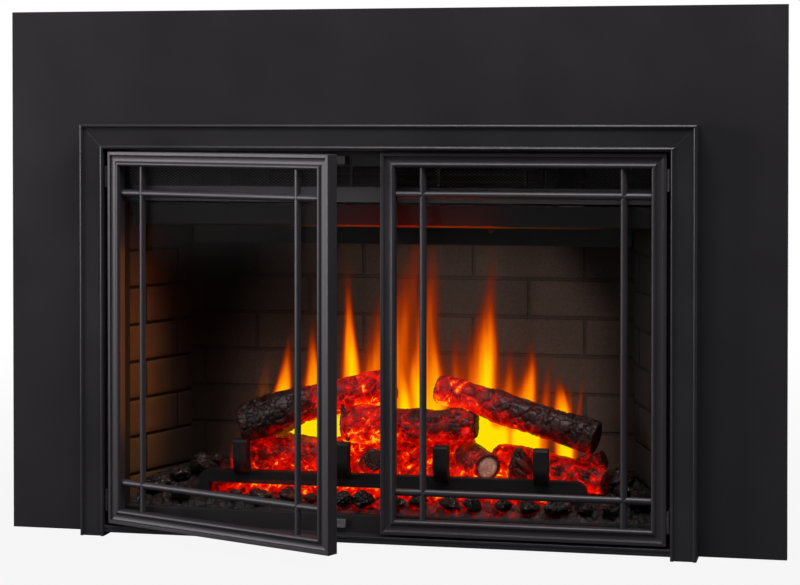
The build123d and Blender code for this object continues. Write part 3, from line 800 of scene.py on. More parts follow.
def upright_grid(node: str, cells: tuple[int, int], share: float, name: str) -> bpy.types.Object:
    """Models an upright grid as wide and as high as a CAD node.

    Args:
        node: the CAD node.
        cells: how many cells lie along X and along Z.
        share: how deep it stands in the node's box, 0 is at the front and 1 at the back.
        name: the grid's name.

    Returns:
        The grid.
    """
    low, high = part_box(node)
    size = high - low
    middle = ((low.x + high.x) / 2, low.y + size.y * share, (low.z + high.z) / 2)
    flat = {"x_subdivisions": cells[0], "y_subdivisions": cells[1], "size": 1, "location": middle}
    obj = added(bpy.ops.mesh.primitive_grid_add, rotation=(math.pi / 2, 0, 0), **flat)
    obj.scale = (size.x, size.z, 1)
    return settle(obj, name)


@dataclass
class FlameScreen:
    """The moulded brick screen at the back with the flame picture on it."""

    grid: tuple[int, int] = (300, 210)
    ground: float = 122.0
    sharpness: float = 2.4
    tongues: tuple[Tongue, ...] = tuple(Tongue(*row) for row in TONGUES)

    def flame(self, x: np.ndarray, z: np.ndarray) -> np.ndarray:
        """The flame picture's brightness.

        Args:
            x: places along the width, in millimetres.
            z: heights, in millimetres.

        Returns:
            Brightness from 0 to 1 at each place.
        """
        streak, wisp = (
            np.array([noise.noise(Vector((a / wide, c / tall, layer))) for a, c in zip(x, z)])
            for wide, tall, layer in ((8, 90, 2.0), (30, 120, 7.0))
        )
        low_top = np.where(x < 60, 176, 160)
        inside = ease(-206, -196, x) * (1 - ease(208, 226, x))
        low = 0.98 * inside * (1 - ease(low_top - 14, low_top + 16, z))
        low *= 1 - 0.45 * np.exp(-(((x - 166) / 7) ** 2))
        haze = 0.17 * (1 - ease(60, 330, np.abs(x - 20))) * (1 - ease(160, 400, z))
        haze += 0.14 * (1 - ease(40, 150, np.abs(x - 120))) * (1 - ease(200, 340, z))
        parts = [tongue.brightness(x + 6 * wisp, z, self.ground) for tongue in self.tongues]
        total = sum(part**self.sharpness for part in [*parts, low, haze]) ** (1 / self.sharpness)
        return np.clip(total, 0, 1) * (1 + 0.22 * streak * ease(170, 260, z))

    @staticmethod
    def soot(x: np.ndarray, z: np.ndarray) -> np.ndarray:
        """How much painted shade the screen gets: dark along the left and in the upper corners.

        Args:
            x: places along the width, in millimetres.
            z: heights, in millimetres.

        Returns:
            Painted shade from 0 to 1.
        """
        left = 1 - ease(-335, -225, x - 0.35 * np.maximum(z - 300, 0))
        right = ease(258, 345, x + 0.62 * np.maximum(z - 330, 0) - 22)
        return np.clip(left + 0.92 * right, 0, 1)

    def build(self) -> bpy.types.Object:
        """Builds the screen as one fine slab.

        Returns:
            The finished piece.
        """
        low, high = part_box("flame_screen")
        obj = upright_grid("flame_screen", self.grid, 0, "screen_with_flames")
        with editing(obj, chosen=False):
            bpy.ops.mesh.select_mode(type="EDGE")
            bpy.ops.mesh.select_non_manifold()
            bpy.ops.mesh.extrude_region_move(TRANSFORM_OT_translate={"value": (0, high.y - low.y, 0)})
            bpy.ops.mesh.edge_face_add()
            bpy.ops.mesh.select_all(action="SELECT")
            bpy.ops.mesh.normals_make_consistent(inside=False)
        x, y, z = (rows_of(obj) / MM).T
        front = y < (low.y + high.y) / 2 / MM
        # the painted shade goes with the flame light as a value for each vertex
        put_values(obj, flame_light=np.where(front, self.flame(x, z), 0), soot=self.soot(x, z))
        SCREEN_BRICK.dress(obj)
        return hand_over(obj, "brick_screen", "flame_screen")


# ------------------------------------------------------------------ brick liners
class Side(Enum):
    """The two sides of the insert, by the sign of X."""

    LEFT = -1
    RIGHT = 1


@dataclass
class BrickLiner:
    """One splayed side wall of the firebox: a mortar board with bricks standing proud.

    It is modelled for the right side, in millimetres, and mirrored for the left.
    """

    side: Side
    front: tuple[float, float] = (417.0, 8.0)
    back: tuple[float, float] = (366.0, 168.0)
    thick: float = 12.0
    top: float = 520.0
    first_joint: float = 88.0
    course: float = 59.4
    joint: float = 5.0
    proud: float = 1.7
    breaks: tuple[float, float] = (0.26, 0.76)
    smallest: float = 8.0
    rounding: float = 1.3
    waviness: float = 0.45
    board_share: float = 0.9

    @property
    def run(self) -> Vector:
        """From the front edge to the back edge of the visible face, in millimetres."""
        return Vector((self.back[0] - self.front[0], self.back[1] - self.front[1], 0))

    def block(self, length: float, thick: float, height: float) -> bpy.types.Object:
        """Adds a block at the origin, its length along X, in millimetres."""
        obj = added(bpy.ops.mesh.primitive_cube_add, size=1)
        obj.scale = (length * MM, thick * MM, height * MM)
        return settle(obj, "block")

    def lay(self, obj: bpy.types.Object, along: float, depth: float, height: float) -> bpy.types.Object:
        """Lays a block in the wall's plane.

        Args:
            obj: the block.
            along: where its middle comes along the run, in millimetres.
            depth: how far its middle lies behind the face.
            height: its middle's height.

        Returns:
            The block.
        """
        run = self.run.normalized()
        inward = Vector((-run.y, run.x, 0))
        middle = Vector((*self.front, height)) + run * along - inward * depth
        turn = Matrix((run, -inward, UP)).transposed().to_4x4()
        obj.matrix_world = Matrix.Translation(middle * MM) @ turn
        return settle(obj, obj.name)

    def brick(self, start: float, end: float, low: float, high: float) -> bpy.types.Object:
        """Models one brick face with rounded edges and a wavy front.

        Args:
            start: its start along the run, in millimetres.
            end: its end along the run.
            low: its lower edge's height.
            high: its upper edge's height.

        Returns:
            The brick, still to be joined.
        """
        obj = self.block(end - start, self.proud * 2, high - low)
        with editing(obj):
            bpy.ops.mesh.bevel(offset=self.rounding * MM, segments=2, affect="EDGES")
            pick_faces(obj, lambda face: abs(face.normal.y) > 0.9 and face.calc_area() > 40 * MM * MM)
            bpy.ops.mesh.subdivide(number_cuts=5)
        at = rows_of(obj)
        for i in np.flatnonzero(at[:, 1] < 0):
            wave = noise.noise(Vector(at[i]) / (16 * MM) + Vector((start, low, 0)))
            at[i, 1] += wave * self.waviness * MM
        put_places(obj, at)
        return self.lay(obj, (start + end) / 2, 0, (low + high) / 2)

    def board(self) -> bpy.types.Object:
        """Models the board that carries the bricks, set back by their height."""
        low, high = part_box("right_liner")
        length, thick = self.run.length, self.thick - self.proud
        obj = self.block(length, thick * self.board_share, (high.z - low.z) / MM)
        with editing(obj, chosen=False):
            pick_faces(obj, lambda face: abs(face.normal.y) > 0.9)
            bpy.ops.mesh.subdivide(number_cuts=12)
        depth = self.proud + thick * self.board_share / 2
        return self.lay(obj, length / 2, depth, (low.z + high.z) / 2 / MM)

    def build(self) -> list[bpy.types.Object]:
        """Builds the wall for this side.

        Returns:
            The bricks and the mortar board, as two pieces.
        """
        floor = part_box("right_liner")[0].z / MM
        heights = [floor] + [self.first_joint + self.course * i for i in range(8)] + [self.top]
        length, gap = self.run.length, self.joint / 2
        bricks = []
        for row, (low, high) in enumerate(zip(heights, heights[1:])):
            share = self.breaks[(row + 1) % 2] if row else self.breaks[1]
            low_edge, high_edge = low + (gap if row else 0), min(high - gap, self.top)
            for start, end in ((0, length * share - gap), (length * share + gap, length)):
                if high_edge - low_edge > self.smallest:
                    bricks.append(self.brick(start, end, low_edge, high_edge))
        name = f"{self.side.name.lower()}_liner"
        left = self.side is Side.LEFT
        made = [join(bricks, f"{name}_bricks"), settle(self.board(), f"{name}_board")]
        # the left liner gets the amber copy, partly painted firelight, and the right one the copy painted
        # dark as shade
        looks = ((LINER_BRICK if left else SHADED_LINER_BRICK, name), (LINER_MORTAR, None))
        for obj, (finish, node) in zip(made, looks):
            if left:
                put_places(obj, rows_of(obj) * (-1, 1, 1))
                with editing(obj):
                    bpy.ops.mesh.flip_normals()
            smooth(obj, 35)
            finish.dress(obj)
            hand_over(obj, "brick_liner", node)
        return made


# ------------------------------------------------------------------ log set
class Wood(Enum):
    """The skins of a log, by the size of their cracked plates in millimetres: along, then across."""

    BARK = (26, 34, 34)
    EMBER = (19, 19, 19)


@dataclass(frozen=True)
class Limb:
    """One moulded log, through stations of (x, y, z, radius) in millimetres.

    Attributes:
        stations: the middle line with the radius at each point.
        heat: how much light comes through, from 0 to 1, by share of the length.
        under: how much more glows on the underside, through the resin and partly as painted light from the
            embers below.
        wood: how the skin is modelled.
        sawn: which ends are cut clean, by station number, 0 or -1.
        bloom: how much grey ash lies on it, leaning to its front and top as a painted highlight.
        core: how far out the pale wood of a sawn end reaches, as a share of the radius.
        sides: how many faces go round it.
        ring_mm: how far apart its rings are.
    """

    stations: tuple[tuple[float, float, float, float], ...]
    heat: tuple[tuple[float, float], ...]
    under: float = 0.3
    wood: Wood = Wood.EMBER
    sawn: tuple[int, ...] = ()
    bloom: float = 0.5
    core: float = 0.0
    sides: int = 96
    ring_mm: float = 1.9

    def line(self) -> list[tuple[Vector, float]]:
        """The middle line as close rings, eased through the stations.

        Returns:
            A place and a radius for each ring, in millimetres.
        """
        points = [Vector(s) for s in self.stations]
        ends = [points[0] * 2 - points[1], *points, points[-1] * 2 - points[-2]]
        rings = []
        for a, b, c, d in zip(ends, ends[1:], ends[2:], ends[3:]):
            count = max(2, round((c - b).length / self.ring_mm))
            for t in (k / count for k in range(count)):
                curve = (2 * a - 5 * b + 4 * c - d) * t * t + (3 * b - a - 3 * c + d) * t**3
                rings.append(0.5 * (2 * b + (c - a) * t + curve))
        return [(at.xyz, at.w * self.rounding(at.xyz)) for at in [*rings, points[-1]]]

    def rounding(self, place: Vector) -> float:
        """How far the radius draws in near an end: broken ends are round, sawn ones only eased.

        Args:
            place: a place on the middle line.

        Returns:
            A factor on the radius.
        """
        factor = 1.0
        for number in (0, -1):
            *end, radius = self.stations[number]
            reach, depth = (3.0, 0.12) if number in self.sawn else (0.42 * radius, 0.34)
            near = min((place - Vector(end)).length / reach, 1)
            factor *= 1 - depth * (1 - math.sqrt(1 - (1 - near) ** 2))
        return factor

    def shape(self) -> bpy.types.Object:
        """Extrudes a disc along the line and gives the ends their rings.

        Returns:
            The smooth limb.
        """
        (first, radius), *rest = self.line()
        along = (rest[-1][0] - first).normalized()
        disc = {"vertices": self.sides, "radius": 1, "fill_type": "NGON"}
        obj = added(bpy.ops.mesh.primitive_circle_add, **disc)
        obj.scale = (radius * MM,) * 3
        obj.rotation_euler = along.to_track_quat("Z", "Y").to_euler()
        obj.location = first * MM
        settle(obj, "limb")
        with editing(obj):
            for place, size in rest:
                bpy.ops.mesh.extrude_region_move(TRANSFORM_OT_translate={"value": (place - first) * MM})
                bpy.ops.transform.resize(value=(size / radius,) * 3, center_override=place * MM)
                first, radius = place, size
            for sign in (-1, 1):
                pick_faces(obj, lambda face: len(face.verts) > 6 and face.normal.dot(along) * sign > 0.7)
                for _ in range(7):
                    bpy.ops.mesh.inset(thickness=radius * 0.125 * MM)
            bpy.ops.mesh.select_all(action="SELECT")
            bpy.ops.mesh.normals_make_consistent(inside=False)
        return obj

    def carve(self, obj: bpy.types.Object) -> None:
        """Roughens the limb and keeps its heat, crack and ash values, the ash partly a painted highlight on
        its lit side.

        Args:
            obj: the smooth limb.
        """
        at, out = rows_of(obj) / MM, rows_of(obj, "normal")
        start, end = (Vector(self.stations[number][:3]) for number in (0, -1))
        axis, length = (end - start).normalized(), (end - start).length
        core = self.core * self.stations[-1][3]
        heat, crack, bloom, sawn = (np.zeros(len(at)) for _ in range(4))
        for i, way in enumerate(out):
            point = Vector(at[i])
            along = (point - start).dot(axis)
            t = min(max(along / length, 0), 1)
            off = point - start - axis * along
            local = Vector((along, 0, 0)) + off
            stretched = Vector((local.x * 0.30, local.y, local.z))
            lumps = noise.noise(point / 26 + start)
            ridges = 1 - abs(noise.noise(stretched / 7.5 + start)) * 2
            fine = noise.noise(point / 3.2 + start)
            cell = Vector([part / size for part, size in zip(local, self.wood.value)])
            bend = noise.noise_vector(cell * 1.9) * 0.35
            near, middles = noise.voronoi(cell + bend + start)
            edge = 1 - ease(0.012, 0.11, near[1] - near[0])
            plate = math.sin(9.1 * middles[0].x + 5.3 * middles[0].y + 7.7 * middles[0].z)
            heat[i] = np.interp(t, *zip(*self.heat))
            # the underside glows more: light through the resin, and partly painted light from the embers
            # below
            heat[i] += self.under * max(0, -way[2]) ** 0.8 + 0.08 * plate * (1 - edge)
            if abs(Vector(way).dot(axis)) > 0.75:  # on an end, not on the skin
                folds = noise.noise(Vector((point.x / 9, point.y / 9, point.z / 2.6)) + start)
                clean = (0 if t < 0.5 else -1) in self.sawn
                push = 0.25 * fine if clean else 1.5 * lumps + 0.9 * fine + 1.4 * (1 - abs(folds) * 2)
                heat[i] *= 0.45
                bloom[i] = 0.3
                if core:
                    sawn[i] = 0.9 * (1 - ease(0.55, 0.78, off.length / core)) * (0.8 + 0.5 * fine)
            else:
                push = 2.0 * lumps + 1.0 * ridges - 2.0 * edge + 0.5 * fine + 0.6 * plate
                crack[i] = edge
                # ash on the upper side, leaning to the front where the lamps fall: partly a painted
                # highlight
                lit = ease(-0.2, 0.9, float(way[2] - 0.6 * way[1]))
                bloom[i] = self.bloom * lit * ease(-0.4, 0.5, lumps + 0.5 * ridges)
            at[i] += way * push
        put_places(obj, at * MM)
        put_values(obj, ember_light=heat, crack=crack, bloom=bloom, sawn_face=sawn)

    def build(self) -> bpy.types.Object:
        """Models, roughens and dresses the limb."""
        obj = self.shape()
        self.carve(obj)
        smooth(obj, 50)
        LOG_RESIN.dress(obj)
        return obj


LOWER_LEFT = Limb(
    ((-268, 66, 109, 22), (-228, 72, 119, 30), (-196, 77, 122, 31), (-150, 85, 120, 28), (-86, 96, 115, 24)),
    heat=((0, 0.54), (0.5, 0.46), (1, 0.56)),
)
LOWER_RIGHT = Limb(
    ((150, 122, 116, 22), (196, 106, 113, 26), (240, 92, 108, 24), (292, 76, 101, 23), (334, 62, 94, 18)),
    heat=((0, 0.66), (0.5, 0.56), (0.8, 0.46), (1, 0.4)),
    bloom=0.8,
)
BURNT_CONE = Limb(
    ((201, 84, 92, 22), (200, 76, 108, 21), (199, 68, 126, 14), (198, 63, 141, 5)),
    heat=((0, 0.55), (0.4, 0.2), (1, 0.12)),
    under=0.2,
    bloom=0.9,
)
SAWN_FRONT = Limb(
    ((106, 112, 124, 23), (128, 84, 116, 24), (150, 57, 112, 23)),
    heat=((0, 0.42), (0.6, 0.36), (1, 0.5)),
    under=0.45,
    sawn=(-1,),
    core=1.0,
)
STUB_LEFT = Limb(((-54, 104, 100, 17), (-30, 56, 118, 17)), heat=((0, 0.5), (1, 0.3)), sawn=(-1,))
STUB_RIGHT = Limb(
    ((285, 96, 112, 14), (329, 88, 126, 13)),
    heat=((0, 0.5), (1, 0.2)),
    under=0.1,
    sawn=(-1,),
)
CENTRE = Limb(
    (
        *((-86, 74, 170, 25), (-50, 76, 171, 30), (0, 80, 171, 25), (36, 77, 171, 27)),
        *((70, 74, 172, 24), (104, 75, 174, 27), (130, 76, 176, 23)),
    ),
    heat=((0, 0.60), (0.3, 0.62), (0.42, 0.44), (0.6, 0.36), (1, 0.36)),
    under=0.28,
    bloom=0.08,
)
SPLIT_TWIG = Limb(
    ((-83, 62, 202, 3.0), (-79, 57, 186, 4.4), (-77, 55, 168, 4.6), (-72, 56, 148, 3.6)),
    heat=((0, 0.42), (1, 0.6)),
    under=0.1,
    bloom=0.2,
    sides=20,
)
UPPER_LEFT = Limb(
    (
        *((-245, 39, 166, 30), (-222, 48, 174, 33), (-190, 58, 184, 33), (-150, 73, 200, 28)),
        *((-110, 88, 208, 27), (-60, 106, 219, 28), (-12, 124, 230, 25)),
    ),
    heat=((0, 0.02), (0.3, 0.07), (0.42, 0.24), (0.5, 0.56), (1, 0.62)),
    under=0.38,
    wood=Wood.BARK,
    bloom=0.35,
)
UPPER_RIGHT = Limb(
    (
        *((64, 92, 229, 22), (96, 86, 222, 24), (130, 80, 214, 23), (178, 73, 201, 25)),
        *((225, 66, 188, 23), (272, 60, 176, 25), (312, 55, 165, 26), (321, 54, 163, 24)),
    ),
    heat=((0, 0.68), (0.2, 0.66), (0.32, 0.42), (0.5, 0.27), (0.72, 0.14), (1, 0.04)),
    under=0.34,
    wood=Wood.BARK,
    sawn=(-1,),
    bloom=0.4,
)


@dataclass
class LogSet:
    """The six nodes of the log set, with the limbs that make up each."""

    limbs: dict[str, tuple[Limb, ...]] = field(
        default_factory=lambda: {
            "log_lower_left": (LOWER_LEFT,),
            "log_lower_right": (LOWER_RIGHT, BURNT_CONE),
            "log_sawn_ends": (SAWN_FRONT, STUB_LEFT, STUB_RIGHT),
            "log_centre": (CENTRE, SPLIT_TWIG),
            "log_upper_left": (UPPER_LEFT,),
            "log_upper_right": (UPPER_RIGHT,),
        }
    )

    def build(self) -> list[bpy.types.Object]:
        """Builds each log and puts it in its node's place.

        Returns:
            The logs.
        """
        made = []
        for node, limbs in self.limbs.items():
            obj = join([limb.build() for limb in limbs], f"{node}_skin")
            slot = "log_bark" if limbs[0].wood is Wood.BARK else "log_ember"
            made.append(hand_over(obj, slot, node))
        return made


# ------------------------------------------------------------------ ember bed
def shape_ball(
    cuts: int,
    size: float,
    place: tuple[float, float, float],
    form: Callable[[Vector], tuple[float, float, float, float]],
    turn: tuple[float, float, float] = (0, 0, 0),
    squash: tuple[float, float, float] = (1, 1, 1),
) -> bpy.types.Object:
    """Models one coal or chunk from a ball.

    Args:
        cuts: how finely the ball is divided.
        size: its radius in millimetres.
        place: its middle, in millimetres.
        form: gives for a direction the share of the radius, the heat, the crack and the ash.
        turn: its turn in radians.
        squash: a factor on each axis.

    Returns:
        The lump, with its values kept on the mesh.
    """
    obj = added(bpy.ops.mesh.primitive_ico_sphere_add, subdivisions=cuts, radius=size * MM)
    at = rows_of(obj) / MM
    share, heat, crack, bloom = np.array([form(Vector(row).normalized()) for row in at]).T
    put_places(obj, at * share[:, None] * squash * MM)
    obj.location = Vector(place) * MM
    obj.rotation_euler = turn
    settle(obj, "lump")
    put_values(obj, ember_light=heat, crack=crack, bloom=bloom)
    return obj


@dataclass
class EmberBed:
    """The moulded bed of ash and embers, its loose coals and the chunks under the centre log.

    Attributes:
        profile: the bed's height by its depth, in millimetres.
        bottom: the height of its underside.
        edge_front: its half width at the front.
        edge_slope: how fast that narrows with the depth.
        grid: its cells across the width and the depth.
        lump_mm: the size of its lumps.
        corner_coals: middle and radius of the coals at both sides, behind the front row.
        chunks: middle and radius of each glowing chunk.
    """

    profile: tuple[tuple[float, float], ...] = (
        *((0, 45), (10, 54), (24, 60), (46, 72), (70, 81), (120, 86), (168, 80)),
    )
    bottom: float = 1.6
    edge_front: float = 415.5
    edge_slope: float = 51 / 160
    grid: tuple[int, int] = (330, 72)
    lump_mm: float = 15.0
    corner_coals: tuple[tuple[float, float, float, float], ...] = (
        *((-325, 84, 96, 22), (-345, 52, 84, 20), (-318, 120, 98, 20), (-372, 30, 74, 20)),
        *((352, 66, 96, 22), (368, 40, 86, 22), (384, 24, 76, 18), (350, 100, 98, 18)),
    )
    chunks: tuple[tuple[float, float, float, float], ...] = (
        *((-62, 112, 100, 26), (-30, 118, 120, 25), (4, 112, 104, 28), (12, 122, 134, 22)),
        *((40, 110, 114, 27), (68, 116, 100, 26), (72, 124, 136, 20), (94, 104, 96, 22)),
        *((-10, 98, 90, 22), (28, 94, 88, 20), (58, 94, 88, 20), (-62, 122, 132, 20)),
        *((-98, 114, 122, 20), (-18, 126, 144, 18), (44, 126, 146, 18), (100, 128, 142, 17)),
    )

    @staticmethod
    def heat(x: np.ndarray, y: np.ndarray) -> np.ndarray:
        """How much light comes through the bed.

        Args:
            x: places along the width, in millimetres.
            y: places from front to back.

        Returns:
            Heat from 0 to 1.
        """
        sides = 1 - ease(240, 330, np.abs(x + 4))
        seep = 0.36 * np.exp(-(((y - 13) / 17) ** 2)) * (1 - ease(90, 290, np.abs(x - 50)))
        return np.clip(0.70 * sides * ease(14, 46, y) + seep, 0, 1)

    def build_bed(self) -> bpy.types.Object:
        """Models the bed: a fine sheet raised to the profile, with lumps and sides.

        Returns:
            The bed.
        """
        depth = self.profile[-1][0]
        cells = {"x_subdivisions": self.grid[0], "y_subdivisions": self.grid[1], "size": 1}
        obj = added(bpy.ops.mesh.primitive_grid_add, location=(0, depth / 2 * MM, 0.05), **cells)
        obj.scale = (2 * self.edge_front * MM, (depth - 0.8) * MM, 1)
        settle(obj, "ember_bed_skin")
        with editing(obj):
            bpy.ops.mesh.extrude_region_move(TRANSFORM_OT_translate={"value": (0, 0, -0.04)})
        at = rows_of(obj) / MM
        top = at[:, 2] > 30
        at[:, 0] *= (self.edge_front - self.edge_slope * np.maximum(at[:, 1] - 8, 0)) / self.edge_front
        crack, bloom = np.zeros(len(at)), np.zeros(len(at))
        for i in np.flatnonzero(top):
            x, y = at[i, 0], at[i, 1]
            point = Vector((x, y, 0))
            here = point / self.lump_mm + noise.noise_vector(point / 9) * 0.25
            near, centres = noise.voronoi(here)
            chip, away = centres[0], here - centres[0]
            crack[i] = 1 - ease(0.02, 0.24, near[1] - near[0])
            tilt = away.x * math.sin(12.9 * chip.x + 4.1 * chip.y)
            tilt += away.y * math.sin(3.7 * chip.x + 9.2 * chip.y)
            high = 0.5 + 0.5 * math.sin(7.3 * chip.x + 5.9 * chip.y)
            broad, fine = noise.noise(point / 38), noise.noise(point / 4.2)
            lift = 3.0 * high + 5.5 * tilt - 2.6 * crack[i] + 0.8 * fine + 1.6 * broad - 1.0
            at[i, 2] = np.interp(y, *zip(*self.profile)) - 1.2 + lift * ease(0, 8, y)
            dust = (0.15 + 0.85 * high) * ease(-0.3, 0.4, fine * 0.5 + broad)
            bloom[i] = dust * (1 - 0.6 * crack[i])
        at[~top, 2] = self.bottom
        put_places(obj, at * MM)
        with editing(obj):
            bpy.ops.mesh.normals_make_consistent(inside=False)
        heat = np.where(top, self.heat(at[:, 0], at[:, 1]), 0)
        put_values(obj, ember_light=heat, crack=crack, bloom=bloom)
        return obj

    @staticmethod
    def build_coal(number: int, x: float, y: float, z: float, size: float) -> bpy.types.Object:
        """Models one coal, chipped and turned its own way.

        Args:
            number: the coal's number, which varies it.
            x: its middle along the width, in millimetres.
            y: its middle from front to back.
            z: its middle's height.
            size: its radius.

        Returns:
            The coal.
        """
        seed = Vector((number * 3.1, number * 1.7, 0))
        chips = []
        for k in range(9):
            turn = k * 2.4 + number
            chip = Vector((math.cos(turn), math.sin(turn), math.sin(k * 1.9 + number * 2) * 0.9))
            chips.append(chip.normalized())

        def form(way: Vector) -> tuple[float, float, float, float]:
            """Flat chips with rough corners, ash on top that leans to the front as a painted highlight, and
            no light.
            """
            cut = min(1.0, *(0.70 / max(way.dot(chip), 0.05) for chip in chips))
            rough = noise.noise(way * 2.2 + seed) * 0.12 + abs(noise.noise(way * 5 + seed)) * 0.14
            # ash on top, leaning to the front as a painted highlight
            ash = ease(-0.2, 0.8, way.z - 0.3 * way.y) * (0.5 + noise.noise(way * 4 + seed))
            return cut + rough, 0, 0, ash

        size *= 0.92 + 0.2 * math.sin(4.4 * number)
        place = (x + 5 * math.sin(2.9 * number), y + 3, z)
        turn = (0.25 * math.sin(number), 0.2 * math.cos(2 * number), 0.5 * math.sin(3 * number))
        return shape_ball(4, size, place, form, turn, squash=(1.12, 1, 0.72))

    @staticmethod
    def build_chunk(number: int, x: float, y: float, z: float, size: float) -> bpy.types.Object:
        """Models one glowing chunk.

        Args:
            number: the chunk's number, which varies it.
            x: its middle along the width, in millimetres.
            y: its middle from front to back.
            z: its middle's height.
            size: its radius.

        Returns:
            The chunk.
        """
        seed = Vector((number * 2.3, number * 4.1, 5))

        def form(way: Vector) -> tuple[float, float, float, float]:
            """Cracked lumps, hotter below and ashy on top."""
            near = noise.voronoi(way * 1.5 + seed + noise.noise_vector(way * 3) * 0.3)[0]
            crack = 1 - ease(0.02, 0.16, near[1] - near[0])
            swell = noise.noise(way * 1.6 + seed) * 0.22 + noise.noise(way * 7 + seed) * 0.04
            heat = 0.62 + 0.22 * noise.noise(way * 1.3 + seed) + 0.15 * max(0, -way.z)
            return 1 + swell - 0.07 * crack, heat, crack, ease(0.0, 0.9, way.z)

        return shape_ball(5, size, (x, y, z), form)

    def build(self) -> list[bpy.types.Object]:
        """Builds bed, coals and chunks, and puts the first two in their nodes' places.

        Returns:
            The three pieces.
        """
        bed = self.build_bed()
        front_row = [
            (
                -330 + 42.5 * i,
                8 + 3 * math.sin(5.1 * i),
                63 + 2 * math.sin(3.7 * i),
                17 + 2 * math.sin(2.3 * i),
            )
            for i in (0, *range(2, 17))
        ]
        coals = [self.build_coal(i, *spot) for i, spot in enumerate([*front_row, *self.corner_coals])]
        coals = join(coals, "coals_chipped")
        chunks = join([self.build_chunk(i, *spot) for i, spot in enumerate(self.chunks)], "ember_chunks")
        for obj, degrees, finish, slot, node in (
            (bed, 60, BED_RESIN, "ember_resin", "ember_bed"),
            (coals, 24, COAL_RESIN, "coal_resin", "loose_coals"),
            (chunks, 60, LOG_RESIN, "ember_resin", None),
        ):
            smooth(obj, degrees)
            finish.dress(obj)
            hand_over(obj, slot, node)
        return [bed, coals, chunks]


# ------------------------------------------------------------------ outlet mesh
@dataclass
class OutletMesh:
    """Expanded steel over the warm air outlet: diamonds with flattened strands."""

    cell: tuple[float, float] = (7.4, 4.4)
    strand: float = 1.1
    tolerance: float = 1e-6

    def build(self) -> bpy.types.Object:
        """Models a diamond grid and turns its edges to strands.

        Returns:
            The mesh.
        """
        low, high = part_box("outlet_mesh")
        cells = [round(length / (cell * MM)) for length, cell in zip((high - low).xz, self.cell)]
        obj = upright_grid("outlet_mesh", cells, 0.5, "outlet_mesh_expanded")
        with editing(obj):
            bpy.ops.mesh.poke()
            bpy.ops.mesh.select_mode(type="EDGE")
            mesh = bmesh.from_edit_mesh(obj.data)
            for edge in mesh.edges:
                a, b = (vertex.co for vertex in edge.verts)
                straight = min(abs(a.x - b.x), abs(a.z - b.z)) < self.tolerance
                edge.select_set(straight and not edge.is_boundary)
            bmesh.update_edit_mesh(obj.data)
            bpy.ops.mesh.dissolve_edges(use_verts=False)
            bpy.ops.mesh.select_all(action="SELECT")
            strands = {"thickness": self.strand * MM, "offset": 0.0}
            bpy.ops.mesh.wireframe(use_boundary=True, use_replace=True, **strands)
        FACE_COAT.dress(obj)
        return hand_over(obj, "satin_black_steel", "outlet_mesh")


# ------------------------------------------------------------------ steelwork and doors
@dataclass
class Steelwork:
    """Surround, trim, face, casing, heater and light engine, dressed as they are."""

    casing: tuple[str, ...] = ("base", "top", "left_wall", "right_wall", "back")

    @property
    def finishes(self) -> dict[Finish, tuple[str, ...]]:
        """The CAD nodes by the finish that they wear."""
        return {
            PANEL_COAT: ("surround_panel",),
            TRIM_COAT: ("trim_left", "trim_right", "trim_top", "trim_bottom_bar"),
            FACE_COAT: ("face_header", "face_left_jamb", "face_right_jamb", "face_apron"),
            RAIL_COAT: ("outlet_rail",),
            BAFFLE_COAT: ("heat_baffle", "screen_header_plate"),
            ZINC: (*(f"casing_{part}" for part in self.casing), "heater_duct"),
            NICKEL_WIRE: ("heater_element",),
            ALUMINIUM: ("blower_wheel",),
            MOTOR_STEEL: ("blower_motor", "rotor_motor"),
            FOIL: ("flame_rotor",),
            NYLON: ("rotor_bearing",),
            LED: ("flame_led_strip", "ember_led_strip"),
            BLACK_PLASTIC: ("terminal_box",),
            CATCH_PLASTIC: ("magnetic_catches",),
            IRON: ("grate_bar", "grate_uprights"),
            DOOR_COAT: ("hinge_brackets",),
        }

    def dress(self) -> list[bpy.types.Object]:
        """Gives each CAD node its finish.

        Returns:
            The dressed nodes.
        """
        done = []
        for finish, names in self.finishes.items():
            done += [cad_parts[name] for name in names]
            finish.dress(*done[-len(names) :])
        return done


@dataclass
class Door:
    """One glazed door: mitred frame, half-round grid, glass and hinge leaves."""

    side: Side
    frame_parts: tuple[str, ...] = ("hinge_stile", "free_stile", "top_rail", "bottom_rail")
    fittings: tuple[str, ...] = ("grid_uprights", "grid_crossbars", "hinge_leaves")

    def dress(self) -> list[bpy.types.Object]:
        """Gives the door's nodes their finishes.

        Returns:
            The dressed nodes.
        """
        names = (*self.frame_parts, *self.fittings, "glass")
        *metal, glass = (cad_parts[f"{self.side.name.lower()}_door_{name}"] for name in names)
        DOOR_COAT.dress(*metal)
        GLASS.dress(glass)
        return [*metal, glass]


# ------------------------------------------------------------------ studio
@dataclass(frozen=True)
class Lamp:
    """A lamp, aimed at a point, in metres."""

    name: str
    place: tuple[float, float, float]
    aim: tuple[float, float, float]
    watts: float

    def add(self, kind: str, **settings: object) -> bpy.types.Object:
        """Adds the lamp and turns it to its aim.

        Args:
            kind: Blender's kind of lamp.
            settings: the lamp's own properties.

        Returns:
            The lamp's object.
        """
        lamp = added(bpy.ops.object.light_add, type=kind, location=self.place)
        lamp.name = self.name
        lamp.data.energy = self.watts
        for name, value in settings.items():
            setattr(lamp.data, name, value)
        lamp.rotation_mode = "QUATERNION"
        lamp.rotation_quaternion = (Vector(self.place) - Vector(self.aim)).to_track_quat("Z", "Y")
        return lamp


